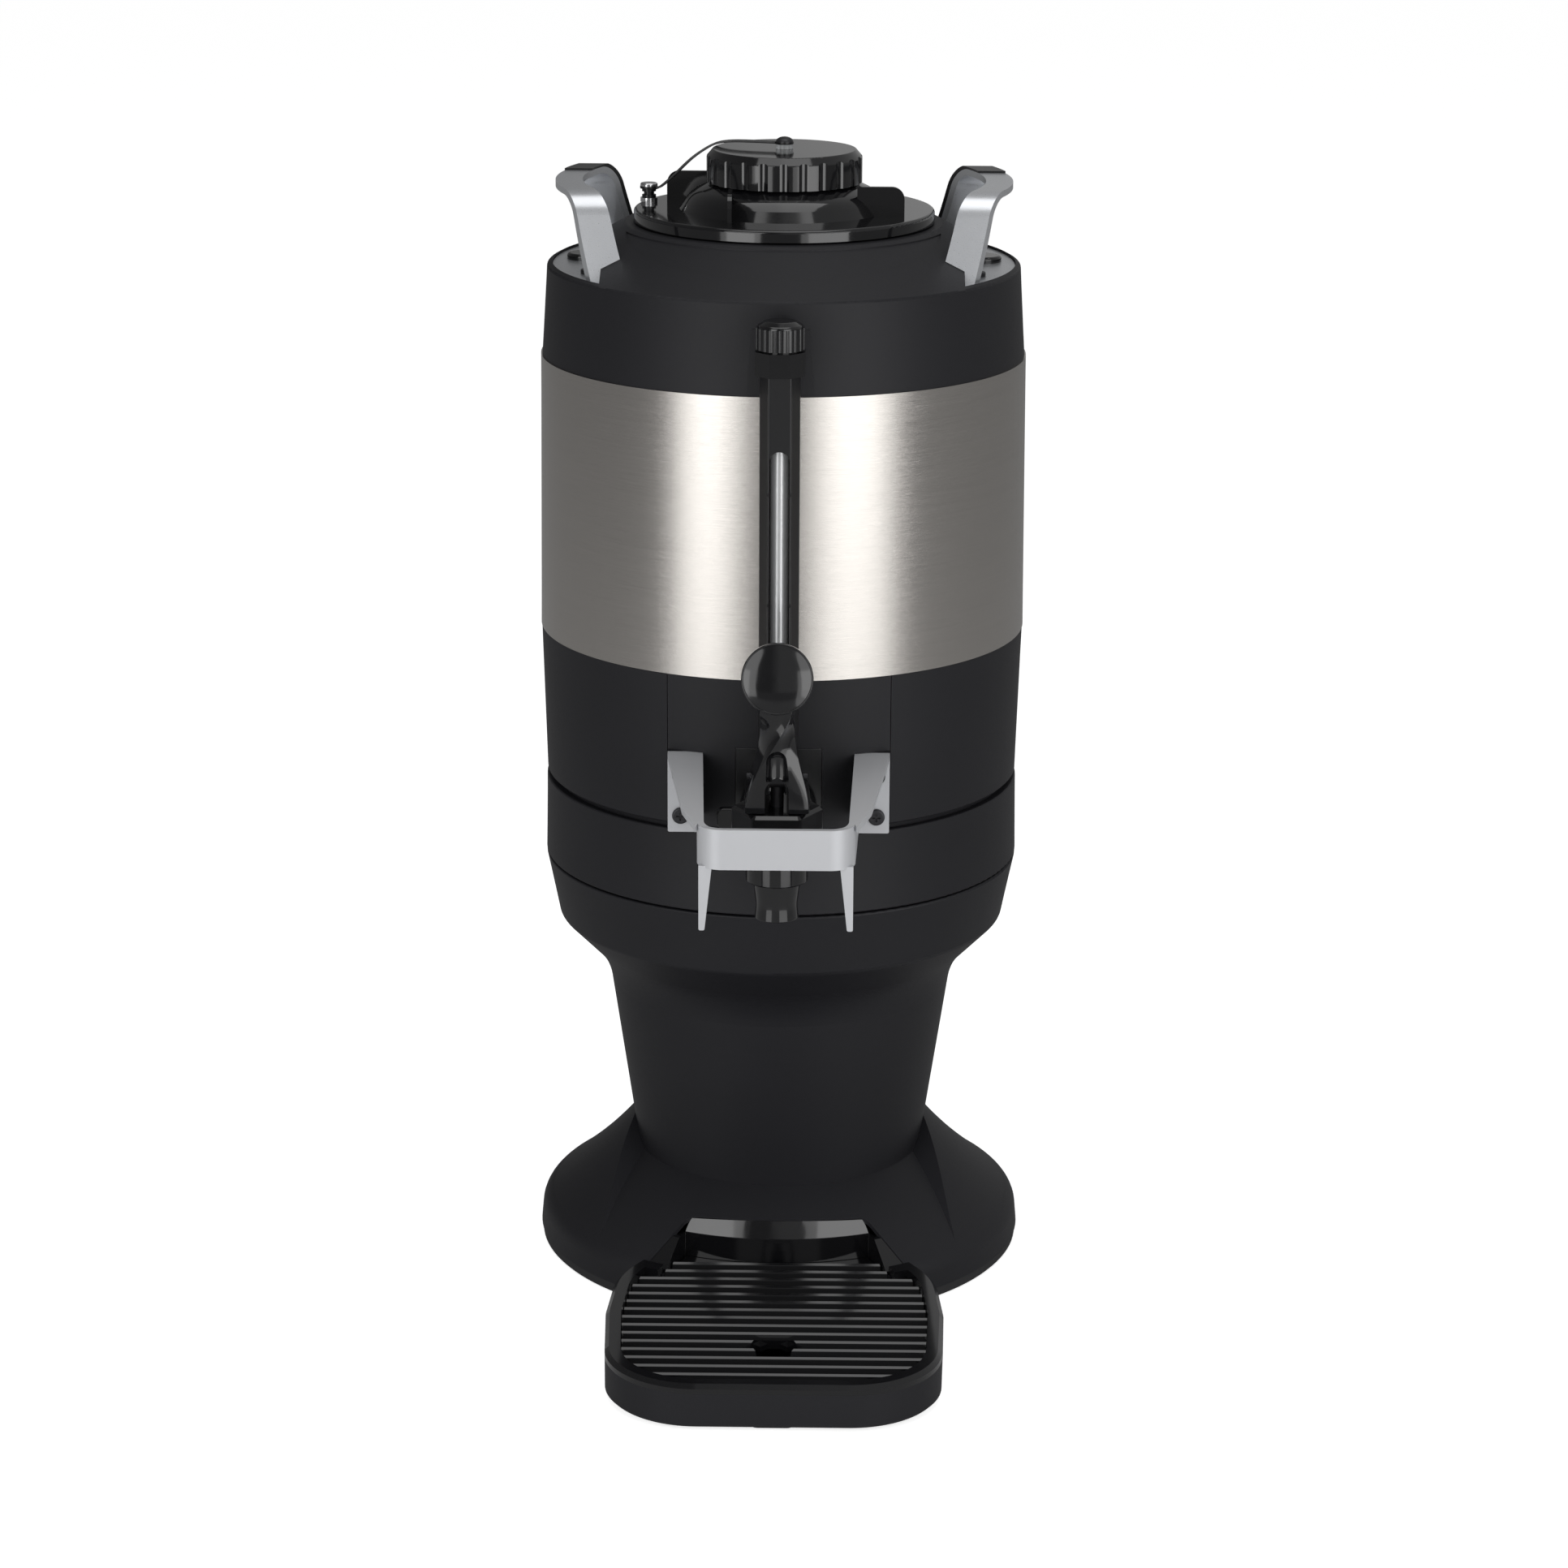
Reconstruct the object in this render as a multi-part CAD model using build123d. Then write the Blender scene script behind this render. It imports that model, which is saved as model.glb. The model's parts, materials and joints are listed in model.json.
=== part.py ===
from build123d import *
import os
from math import cos, hypot, pi, radians, sin, sqrt, tan

# A free-standing insulated coffee server. Millimetres, +Z up, front towards -Y.
# The origin lies on the vessel's axis, on the table.

# Clearances and overruns
FIT = 0.3
RUN = 0.05
CUT = 1.0
SEAM = 0.8
EDGE_ROUND = 0.8
FULL_TURN = 360

# Foot ring and base plate
FOOT_INSET = 0.8
FOOT_WIDTH = 16.0
FOOT_HEIGHT = 5.5
FOOT_EDGE = 1.0
PLATE_THICKNESS = 3.0
BASE_SCREW_COUNT = 6
BASE_SCREW_HEAD_R = 4.0
BASE_SCREW_HEAD = 2.0
BASE_SCREW_R = 2.0
BASE_SCREW_LENGTH = 9.0

# Skirt, flare and front apron of the base
SKIRT_R = 122.8
SKIRT_TAPER = 1.3
SKIRT_BAND = 14.2
SKIRT_WALL = 3.0
SKIRT_TOP_ROUND = 5.0
FLARE_RISE = 46.3
FLARE_STEP = 6.2
FLARE_HOLLOW = 2.1
APRON_RISE = 30.8
# where the creases beside the apron cross the flare's top, the apron's top and the rim,
# as degrees from the front
CREASE_TOP_ANGLE = 87.6
CREASE_MIDDLE_ANGLE = 70.7
CREASE_FOOT_ANGLE = 49.9
# how far the inner skin of a sloping wall drops, as shares of the wall
FLARE_DROP_SHARE = 1.4
SKIRT_DROP_SHARE = 0.4

# Notch in the apron for the drip tray, and the insert that lines it. Both backs are
# shallow arcs, measured back from the skirt's crease on the middle plane.
NOTCH_DEPTH = 31.8
NOTCH_ARC_R = 120.0
NOTCH_BACK_HALF = 43.7
NOTCH_FRONT_HALF = 65.0
NOTCH_LINE_DEPTH = 0.5
NOTCH_CORNER = 7.0
INSERT_WALL = 3.3
INSERT_BACK_HALF = 45.6
INSERT_POCKET_ANGLE = 20.0
INSERT_FLOOR = 2.5
INSERT_LIP_DROP = 9.3
INSERT_BEVEL = 5.8

# Pedestal column
COLUMN_FOOT_R = 66.2
COLUMN_NECK_R = 87.3
COLUMN_NECK_DROP = 56.2
COLUMN_HEAD_INSET = 6.3
COLUMN_HEAD_DROP = 31.4
COLUMN_TOP_Z = 207.0
COLUMN_NECK_ROUND = 35.0
COLUMN_HEAD_ROUND = 4.0
COLUMN_WALL = 3.2
COLUMN_FLANGE = 10.0
COLUMN_FLANGE_THICKNESS = 4.0
COLUMN_BOSS_R = 4.0

# Stand collar and cradle. The radii up the body are steps from the body's own.
BODY_R = 117.9
BODY_WALL = 3.2
COLLAR_HEIGHT = 39.5
COLLAR_TAPER = 0.7
COLLAR_PLUG = 7.8
COLLAR_PLUG_GAP = 1.8
COLLAR_STEP = 3.8
COLLAR_NECK_HEIGHT = 8.7
COLLAR_NECK_WALL = 3.0
LEDGE_WIDTH = 10.0
LEDGE_THICKNESS = 3.0
LEDGE_DROP = 14.3
CRADLE_THICKNESS = 3.0
CRADLE_HOLE_R = 27.0
CRADLE_RIM = 6.0
CRADLE_RIM_WALL = 2.7
SHADOW_GAP = 2.7

# Lower housing with its front panel
HOUSING_HEIGHT = 74.4
HOUSING_INSET = 1.0
HOUSING_BULGE = 1.1
HOUSING_LIP = 6.0
HOUSING_LIP_WALL = 2.6
PANEL_HALF = 53.0
PANEL_SEAM = 0.3
ESCUTCHEON_HALF = 20.5
ESCUTCHEON_LIFT = 2.0
ESCUTCHEON_HEIGHT = 39.0
ESCUTCHEON_RAISE = 0.3

# Steel band
BAND_HEIGHT = 134.5
BAND_STEP = 0.3
BAND_TAPER = 1.4
BAND_WALL = 0.8

# Shoulder housing
SHOULDER_STEP = 0.7
SHOULDER_TAPER = 2.7
SHOULDER_WALL_HEIGHT = 43.1
SHOULDER_EDGE_ROUND = 1.5
SHOULDER_RISE = 20.0
SHOULDER_TOP_R = 77.0
SHOULDER_TOP_ROUND = 2.5
SHOULDER_WALL = 3.5
SHOULDER_MOUTH_GAP = 1.8
SHOULDER_MOUTH_WALL = 4.0
CRESCENT_R = 75.0
CRESCENT_OFFSET = 25.0
CRESCENT_DEPTH = 0.7
GAUGE_PAD_TOP_HALF = 13.7
GAUGE_PAD_BOTTOM_HALF = 15.6
GAUGE_PAD_RAISE = 0.6
GAUGE_PAD_HEIGHT = 31.0

# Handles, measured inwards from the shoulder's edge
POCKET_WIDTH = 29.0
POCKET_RIM = 2.5
POCKET_DEPTH = 5.0
HANDLE_PLATE = 5.0
HANDLE_INSET = 17.2
HANDLE_ARC_X = 6.2
HANDLE_WIDTH = 13.0
HANDLE_THICKNESS = 3.0
HANDLE_LEG_FRONT = 62.0
HANDLE_TOP_FRONT = 47.0
HANDLE_BEND = 16.0
HANDLE_HEIGHT = 40.5
HANDLE_TRIM = 1.8
HANDLE_PLUG_R = 9.0
HANDLE_PLUG_HEIGHT = 3.0
HANDLE_PLUG_ROUND = 1.5
HANDLE_PLUG_INSET = 18.0
HANDLE_PLUG_Y = 8.0
HANDLE_SCREW_R = 2.5
HANDLE_SCREW_HEAD_R = 4.5
HANDLE_SCREW_HEAD = 2.2
HANDLE_SCREW_LENGTH = 10.0
HANDLE_BOSS_R = 6.0
HANDLE_BOSS = 9.0

# Vessel: liner inside a vacuum wall
VESSEL_GAP = 13.9
VACUUM_GAP = 12.0
NECK_GAP = 4.0
LINER_WALL = 0.8
LINER_LIFT = 8.0
LINER_SHOULDER_DROP = 44.0
LINER_NECK_R = 56.0
LINER_CORNER = 22.0
LINER_NECK_ROUND = 5.5
LINER_FOOT_ROUND = 8.0
VACUUM_WALL = 0.8
VACUUM_CORNER = 20.0
VACUUM_NECK_ROUND = 5.0
VACUUM_FOOT_ROUND = 10.0
VACUUM_SHOULDER_DROP = 40.0
NECK_TOP_DROP = 5.0
NECK_FLANGE = 1.6

# Lid
LID_INSET = 4.4
LID_RIM_HEIGHT = 5.7
LID_RIM_EDGE = 1.6
LID_DOME_ROUND = 14.0
LID_DISC = 3.0
LID_DOME_R = 50.5
LID_DOME_BULGE_R = 45.0
LID_DOME_BULGE = 8.0
LID_DOME_HEIGHT = 12.7
LID_THROAT_R = 35.0
LID_THROAT_NECK_R = 30.0
LID_THROAT_BORE = 28.0
LID_THROAT_TOP = 9.0
LID_WALL = 2.5
LID_PLUG_DEPTH = 20.0
LID_PLUG_WALL = 3.0
GASKET_THICKNESS = 2.7
GASKET_HEIGHT = 8.0
GASKET_DROP = 6.0
WING_COUNT = 4
WING_THICKNESS = 2.0
WING_REACH = 57.5
WING_HEIGHT = 14.0
WING_OFFSET = 24.0
WING_ROUND = 6.0
WING_GAP = 1.2

# Mixing tube under the lid
TUBE_R = 12.0
TUBE_WALL = 1.5
TUBE_END_GAP = 18.0
FUNNEL_DEPTH = 24.0
FUNNEL_SLOPE = 13.85
FUNNEL_FLANGE = 1.6

# Filling cap, its swivel and strap
CAP_OVERHANG = 2.5
CAP_TAPER = 3.0
CAP_GRIP = 12.0
CAP_CROWN = 3.5
CAP_FLUTES = 24
CAP_FLUTE_R = 4.0
CAP_FLUTE_DEPTH = 0.9
CAP_RAISE = 13.0
CAP_SEAL_WIDTH = 4.0
CAP_SEAL = 1.5
SWIVEL_R = 4.2
SWIVEL_SHAFT_R = 1.6
SWIVEL_DOME = 2.4
WASHER_R = 4.2
WASHER = 2.2
STRAP_WIDTH = 3.2
STRAP = 1.1
STRAP_EYE_R = 4.4
STRAP_HOLE_R = 1.9
SWIVEL_SHAFT_DROP = 3.0
POST_INSET = 6.6
POST_Y = 18.0
POST_R = 1.8
POST_BASE_R = 4.2
POST_BASE = 2.0
POST_SPACER_R = 3.4
POST_SPACER_WAIST_R = 2.5
POST_SPACER = 4.4
POST_HEAD_R = 4.2
POST_HEAD = 1.6
# the strap's rise from the post to the cap, as shares of its length and of its height
STRAP_SHARES = (
    (0.075, 0), (0.167, 0.22), (0.317, 0.6), (0.414, 0.8), (0.49, 0.94), (0.6, 0.97), (0.75, 1),
)

# Level gauge
GAUGE_STANDOFF = 11.6
GAUGE_GLASS_R = 4.9
GAUGE_GLASS_WALL = 1.2
GAUGE_HALF = 9.3
GAUGE_SIDE_DEPTH = 8.5
GAUGE_FRONT = 10.5
GAUGE_RIB_HALF = 5.6
GAUGE_RIB_STEP = 1.6
GAUGE_BORE_R = 5.6
GAUGE_TOP_RISE = 13.1
GAUGE_SLOT_HALF = 4.7
GAUGE_SLOT_DROP = 34.0
GAUGE_SLOT_FOOT = 11.0
GAUGE_TICK = 0.8
GAUGE_TICK_DROP = 54.0
GAUGE_TICK_PITCH = 52.0
GAUGE_TICKS = 2
GAUGE_COLLAR_R = 12.4
GAUGE_COLLAR = 11.0
GAUGE_COLLAR_SIDES = 8
GAUGE_ARM_HALF = 7.0
GAUGE_CAP_R = 11.2
GAUGE_CAP = 10.0
GAUGE_CAP_DOME = 3.0
GAUGE_CAP_FLUTES = 20
GAUGE_CAP_FLUTE_R = 1.0
GAUGE_CAP_FLUTE_DEPTH = 0.5
GAUGE_NIPPLE_R = 8.6
GAUGE_NIPPLE = 8.0
GAUGE_SEAL = 2.0

# Tap shank, gauge base and nut
SHANK_RISE = 12.0
SHANK_R = 9.0
SHANK_BORE = 6.5
FLANGE_R = 18.5
FLANGE = 6.5
WASHER_SEAL = 1.0
GAUGE_BASE_R = 13.0
GAUGE_BASE_NOSE = 9.5
GAUGE_SOCKET_R = 9.3
GAUGE_SOCKET_RISE = 27.0
NUT_R = 14.0
NUT = 4.5
EAR_REACH = 28.5
EAR_WIDTH = 10.0
EAR_RISE = 2.0
EAR_ROUND = 3.3

# Tap body and bonnet; heights run from the shank's axis
TAP_STANDOFF = 19.5
TAP_BODY_R = 14.5
TAP_BODY_DROP = 21.0
TAP_INLET_R = 11.0
TAP_CHAMBER_R = 11.0
TAP_SEAT = 2.5
OUTLET_CONE_R = 11.2
OUTLET_R = 9.7
OUTLET_LIP_R = 10.3
OUTLET_LENGTH = 18.0
OUTLET_LIP = 6.5
OUTLET_BORE = 6.5
OUTLET_ROUND = 19.4
BONNET_R = 21.5
BONNET_RISE = 1.5
BONNET_HEIGHT = 13.5
BONNET_ROUND = 3.0
BONNET_EDGE = 1.5
BONNET_CAVITY_R = 9.5
BONNET_CAVITY = 6.5
BONNET_SIDES = 6

# Tap stem, seat cup and spring
STEM_R = 3.0
STEM_HEAD_HALF = 3.5
STEM_HEAD_DEPTH = 4.5
PIN_RISE = 14.0
PIN_R = 1.5
SEAT_CUP_R = 8.6
SEAT_CUP = 8.0
SPRING_R = 6.5
SPRING_WIRE = 0.8
SPRING_TURNS = 4

# Tap handle; distances run from the stem's axis and heights from the pin
LEVER_FOOT_HALF = 15.0
LEVER_FOOT_FRONT = 14.0
LEVER_FOOT_BACK = 11.5
LEVER_NECK_HALF = 7.2
LEVER_NECK_RISE = 21.0
LEVER_NECK_DEPTH = 11.0
LEVER_NECK_FRONT = 8.5
LEVER_CAVITY_HALF = 6.0
LEVER_CAVITY_RISE = 8.0
LEVER_EDGE_SHARE = 0.6
KNOB_R = 16.5
KNOB = 8.5
KNOB_RISE = 29.0
KNOB_FRONT = 13.0
KNOB_TILT = 12.0
KNOB_RIM = 1.2
KNOB_DISH = 0.9
KNOB_EDGE = 1.4

# Tap guard
GUARD_PLATE_SINK = 5.9
GUARD_PLATE = 2.5
GUARD_PLATE_GAP = 0.4
GUARD_PLATE_WIDTH = 16.6
GUARD_PLATE_DROP = 14.2
GUARD_PLATE_HEIGHT = 39.2
GUARD_WEB = 3.0
GUARD_TAPER = 3.2
GUARD_REACH = 36.0
GUARD_CORNER = 12.0
GUARD_BAND_RISE = 9.2
GUARD_BAND = 19.0
GUARD_PRONG = 30.0
GUARD_PRONG_TOP_WIDTH = 6.6
GUARD_PRONG_WIDTH = 3.2
GUARD_PRONG_SET = 3.0
GUARD_FLANGE_WIDTH = 7.7
GUARD_FLANGE_WAIST = 25.0
GUARD_FLANGE_NOSE = 6.0
GUARD_SCREW_INSET = 6.1
GUARD_SCREW_LOW = 8.2
GUARD_SCREW_PITCH = 20.0
GUARD_SCREW_HEAD_R = 4.0
GUARD_SCREW_HEAD = 1.8
GUARD_SCREW_R = 1.8
GUARD_SCREW_LENGTH = 9.0
SCREW_CROSS = 0.9

# Drip tray, rim, grille and feet; distances forward run from the skirt's radius
TRAY_FOOT = 2.5
TRAY_FOOT_ROUND = 1.6
TRAY_WALL_TOP = 19.5
TRAY_RIM_TOP = 24.0
TRAY_WALL = 2.6
TRAY_FLOOR = 2.5
TRAY_REAR_HALF = 62.5
TRAY_REAR_SINK = 26.8
TRAY_HORN_SINK = 6.0
TRAY_SHOULDER_HALF = 78.0
TRAY_SHOULDER_SINK = 0.8
TRAY_HALF = 81.0
TRAY_SIDE_REACH = 42.2
TRAY_FRONT_HALF = 77.5
TRAY_REACH = 125.2
TRAY_SHOULDER_ROUND = 60.0
TRAY_SIDE_ROUND = 45.0
TRAY_FRONT_ROUND = 44.0
TRAY_GAP = 0.5
RIM_WIDTH = 7.5
RIM_SKIRT = 2.0
RIM_BEVEL = 2.0
LEDGE = 3.0
LEDGE_Z = 14.7
TONGUE_DEPTH = 3.3
TONGUE_REACH = 17.2
GRILLE_PLATE = 2.6
GRILLE_TOP = 21.0
GRILLE_RIBS = 17
RIB_CREST_SHARE = 0.8
RIB_FOOT_SHARE = 0.92
DRAIN_INSET = 52.0
DRAIN_HALF = 13.5
DRAIN_DEPTH = 16.0
DRAIN_CORNER = 7.0
LUG = 5.0
LUG_TURN = 45
PAD_HALF = 10.0
PAD_DEPTH = 10.0
PAD_INSET = 6.0
REAR_PAD_X = 50.0
REAR_PAD_REACH = 23.2
REAR_PAD_R = 7.0

# Radii and places that follow from the sizes above
FOOT_R = SKIRT_R - FOOT_INSET
SKIRT_TOP_R = SKIRT_R - SKIRT_TAPER
FLARE_TOP_R = COLUMN_FOOT_R + FLARE_STEP
NOTCH_MID = SKIRT_TOP_R - NOTCH_DEPTH
POCKET_MID = NOTCH_MID + INSERT_WALL
COLUMN_HEAD_R = BODY_R - COLUMN_HEAD_INSET
COLLAR_TOP_R = BODY_R - COLLAR_TAPER
COLLAR_NECK_R = COLLAR_TOP_R - COLLAR_STEP
HOUSING_BOTTOM_R = BODY_R - HOUSING_INSET
HOUSING_TOP_R = BODY_R + HOUSING_BULGE
BAND_BOTTOM_R = HOUSING_TOP_R + BAND_STEP
BAND_TOP_R = BAND_BOTTOM_R - BAND_TAPER
SHOULDER_BOTTOM_R = BAND_TOP_R - SHOULDER_STEP
SHOULDER_EDGE_R = SHOULDER_BOTTOM_R - SHOULDER_TAPER
VACUUM_R = BODY_R - VESSEL_GAP
LINER_R = VACUUM_R - VACUUM_GAP
VACUUM_NECK_R = LINER_NECK_R + NECK_GAP
NECK_FLANGE_R = VACUUM_NECK_R + VACUUM_WALL
SHOULDER_MOUTH_R = NECK_FLANGE_R + SHOULDER_MOUTH_GAP
GASKET_R = LINER_NECK_R - FIT
LID_PLUG_R = GASKET_R - GASKET_THICKNESS
LID_R = SHOULDER_TOP_R - LID_INSET
POST_X = POST_INSET - LID_R
CAP_R = LID_THROAT_R + CAP_OVERHANG
POCKET_CHORD = SHOULDER_EDGE_R - POCKET_WIDTH
POCKET_R = SHOULDER_EDGE_R - POCKET_RIM
HANDLE_ARC_R = SHOULDER_EDGE_R - HANDLE_INSET
HANDLE_PLUG_X = SHOULDER_EDGE_R - HANDLE_PLUG_INSET
GAUGE_Y = -(BODY_R + GAUGE_STANDOFF)
GAUGE_BASE_FRONT = GAUGE_BASE_NOSE - GAUGE_Y
TAP_Y = -(GAUGE_BASE_FRONT + NUT + TAP_STANDOFF)
GUARD_PLATE_FRONT = BODY_R - GUARD_PLATE_SINK
GUARD_PLATE_OUTER = PANEL_HALF - GUARD_PLATE_GAP
GUARD_PLATE_INNER = GUARD_PLATE_OUTER - GUARD_PLATE_WIDTH
GUARD_WEB_BACK_HALF = GUARD_PLATE_INNER + GUARD_WEB
GUARD_WEB_FRONT_HALF = GUARD_WEB_BACK_HALF - GUARD_TAPER
GUARD_FRONT = GUARD_REACH - TAP_Y
GUARD_FLANGE_END = GUARD_FRONT - GUARD_FLANGE_NOSE
TRAY_FRONT = SKIRT_R + TRAY_REACH
DRAIN_Y = TRAY_FRONT - DRAIN_INSET

# Levels that follow from the heights above
PLATE_TOP = FOOT_HEIGHT + PLATE_THICKNESS
SKIRT_TOP_Z = FOOT_HEIGHT + SKIRT_BAND
FLARE_TOP_Z = SKIRT_TOP_Z + FLARE_RISE
COLLAR_Z = COLUMN_TOP_Z + SEAM
COLLAR_TOP = COLLAR_Z + COLLAR_HEIGHT
LEDGE_TOP = COLLAR_TOP - LEDGE_DROP
CRADLE_TOP = LEDGE_TOP + CRADLE_THICKNESS
HOUSING_Z = COLLAR_TOP + SHADOW_GAP
HOUSING_TOP = HOUSING_Z + HOUSING_HEIGHT
BAND_TOP = HOUSING_TOP + BAND_HEIGHT
EDGE_Z = BAND_TOP + SHOULDER_WALL_HEIGHT
SHOULDER_TOP = EDGE_Z + SHOULDER_RISE
NECK_TOP = SHOULDER_TOP - NECK_TOP_DROP
LINER_BOTTOM_Z = CRADLE_TOP + LINER_LIFT
LID_Z = SHOULDER_TOP + SEAM
LID_TOP = LID_Z + LID_RIM_HEIGHT
CAP_Z = LID_TOP + CAP_RAISE
CAP_TOP = CAP_Z + CAP_GRIP + CAP_CROWN
THROAT_TOP = CAP_Z + LID_THROAT_TOP
CAP_UNDERSIDE = THROAT_TOP + FUNNEL_FLANGE + CAP_SEAL + FIT
STRAP_CAP_Z = CAP_TOP + WASHER
STRAP_POST_Z = LID_TOP + POST_BASE + POST_SPACER
POCKET_FLOOR = EDGE_Z - POCKET_DEPTH
HANDLE_BASE_TOP = POCKET_FLOOR + HANDLE_PLATE
HANDLE_TOP_Z = HANDLE_BASE_TOP + HANDLE_HEIGHT
SHANK_Z = HOUSING_Z + SHANK_RISE
GAUGE_SOCKET_TOP = SHANK_Z + GAUGE_SOCKET_RISE
GAUGE_TOP_Z = BAND_TOP + GAUGE_TOP_RISE
GAUGE_COLLAR_TOP = GAUGE_TOP_Z + GAUGE_COLLAR
FLANGE_BACK = HOUSING_BOTTOM_R + WASHER_SEAL + ESCUTCHEON_RAISE
TAP_BODY_BOTTOM = SHANK_Z - TAP_BODY_DROP
TAP_SEAT_Z = TAP_BODY_BOTTOM + TAP_SEAT
OUTLET_BOTTOM = TAP_BODY_BOTTOM - OUTLET_LENGTH
BONNET_BOTTOM = SHANK_Z + BONNET_RISE
BONNET_TOP = BONNET_BOTTOM + BONNET_HEIGHT
PIN_Z = BONNET_TOP + PIN_RISE
GUARD_PLATE_BOTTOM = SHANK_Z - GUARD_PLATE_DROP
GUARD_PLATE_TOP = GUARD_PLATE_BOTTOM + GUARD_PLATE_HEIGHT
GUARD_BAND_BOTTOM = GUARD_PLATE_BOTTOM + GUARD_BAND_RISE
GUARD_BAND_TOP = GUARD_BAND_BOTTOM + GUARD_BAND

LOW = (Align.CENTER, Align.CENTER, Align.MIN)


def face_of(corners, rounds=None):
    """A flat face with these corners, each rounded by its own radius."""
    if rounds is None:
        return make_face(Polyline(*corners, close=True))
    return make_face(FilletPolyline(*corners, radius=rounds, close=True))


def spin(corners, rounds=None):
    """A solid of revolution about the vessel's axis; corners are (radius, height)."""
    return revolve(Plane.XZ * face_of(corners, rounds), axis=Axis.Z)


def raise_face(face, bottom, top):
    """A flat face of the XY plane made a prism between two heights."""
    return Pos(0, 0, bottom) * extrude(face, amount=top - bottom, dir=(0, 0, 1))


def slab(corners, bottom, top, rounds=None):
    """A vertical prism over an outline of (x, y) corners."""
    return raise_face(face_of(corners, rounds), bottom, top)


def block(left, right, back, front, bottom, top):
    """A box between these planes; back and front are y values."""
    return slab(((left, back), (right, back), (right, front), (left, front)), bottom, top)


def post(radius, bottom, top, x=0, y=0):
    """An upright cylinder."""
    return Pos(x, y, bottom) * Cylinder(radius, top - bottom, align=LOW)


def pipe(outer, bore, bottom, top, x=0, y=0):
    """An upright tube."""
    return post(outer, bottom, top, x, y) - post(bore, bottom - CUT, top + CUT, x, y)


def rod(radius, back, front, x, z):
    """A cylinder along Y, from y = -back to y = -front."""
    return Pos(x, -back, z) * Rot(90, 0, 0) * Cylinder(radius, front - back, align=LOW)


def mirror_pair(solid):
    """A solid and its mirror image across the middle plane."""
    return solid + mirror(solid, about=Plane.YZ)


def around(solid, count, turn=0):
    """Copies of a solid about the vessel's axis."""
    return [Rot(0, 0, turn + FULL_TURN / count * i) * solid for i in range(count)]


def front_point(radius, degrees, z):
    """A point at this radius and height, turned to the right from the front."""
    turn = radians(degrees)
    return Vector(radius * sin(turn), -radius * cos(turn), z)


# Base


def base_form(wall=0):
    """The outside of the base, or its inner skin when a wall is given."""
    bottom = FOOT_HEIGHT - (CUT if wall else 0)
    side_r = SKIRT_R - wall
    corner_r = SKIRT_TOP_R - wall
    corner_z = SKIRT_TOP_Z - wall * SKIRT_DROP_SHARE
    top_z = FLARE_TOP_Z - wall * FLARE_DROP_SHARE
    fall = APRON_RISE / (corner_r - FLARE_TOP_R)
    lean = (side_r - corner_r) / (corner_z - bottom)
    side = (corner_r + SKIRT_TOP_ROUND * lean, corner_z - SKIRT_TOP_ROUND)
    edge_r = corner_r - SKIRT_TOP_ROUND
    edge_z = corner_z + SKIRT_TOP_ROUND * fall
    edge = (edge_r, edge_z)
    run = edge_r - FLARE_TOP_R
    rise = top_z - edge_z
    slope = hypot(run, rise)
    middle = (
        (edge_r + FLARE_TOP_R) / 2 - FLARE_HOLLOW * rise / slope,
        (edge_z + top_z) / 2 - FLARE_HOLLOW * run / slope,
    )
    skirt = [
        Line((0, bottom), (side_r, bottom)),
        Line((side_r, bottom), side),
        TangentArc(side, edge, tangent=(side[0] - side_r, side[1] - bottom)),
    ]
    flare_lines = [
        ThreePointArc(edge, middle, (FLARE_TOP_R, top_z)),
        Line((FLARE_TOP_R, top_z), (0, top_z)),
        Line((0, top_z), (0, bottom)),
    ]
    inner_z = edge_z + edge_r * fall
    apron_lines = [Line(edge, (0, inner_z)), Line((0, inner_z), (0, bottom))]
    flare = revolve(Plane.XZ * make_face(skirt + flare_lines), axis=Axis.Z)
    apron = revolve(Plane.XZ * make_face(skirt + apron_lines), axis=Axis.Z)
    top = front_point(FLARE_TOP_R, CREASE_TOP_ANGLE, top_z)
    inner = front_point(FLARE_TOP_R, CREASE_MIDDLE_ANGLE, edge_z + run * fall)
    foot = front_point(edge_r, CREASE_FOOT_ANGLE, edge_z)
    crease = Plane(origin=inner, x_dir=foot - inner, z_dir=(foot - inner).cross(top - inner))
    reach = SKIRT_R * 4
    over = crease * Box(reach, reach, reach, align=LOW)
    over &= mirror(over, about=Plane.YZ)
    over &= post(reach, edge_z, top_z * 2)
    return flare - (over - apron)


def behind_arc(mid, top):
    """All that lies behind the shallow arc that crosses the middle plane this far forward."""
    return post(NOTCH_ARC_R, 0, top, 0, NOTCH_ARC_R - mid)


def arc_drop(half):
    """How far the shallow arc falls back at this distance from the middle plane."""
    return NOTCH_ARC_R - sqrt(NOTCH_ARC_R**2 - half**2)


def notch_form(gap=0):
    """The notch's outline in plan as a prism, narrowed by a gap."""
    back_y = NOTCH_MID - arc_drop(NOTCH_BACK_HALF)
    front_y = SKIRT_R + CUT
    side_y = sqrt(SKIRT_TOP_R**2 - NOTCH_FRONT_HALF**2)
    right = (
        (NOTCH_BACK_HALF - gap, -back_y + NOTCH_CORNER * 2),
        (NOTCH_BACK_HALF - gap, -back_y),
        (NOTCH_FRONT_HALF - gap, -side_y),
        (NOTCH_FRONT_HALF - gap, -front_y),
    )
    left = tuple((-x, y) for x, y in right[::-1])
    top = FLARE_TOP_Z + CUT
    form = slab(right + left, PLATE_TOP, top) - behind_arc(NOTCH_MID + gap, top + CUT)
    corners = [
        form.edges().filter_by(Axis.Z).sort_by_distance((side * NOTCH_BACK_HALF, -back_y, top / 2))[0]
        for side in (-1, 1)
    ]
    return fillet(corners, NOTCH_CORNER)


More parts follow.
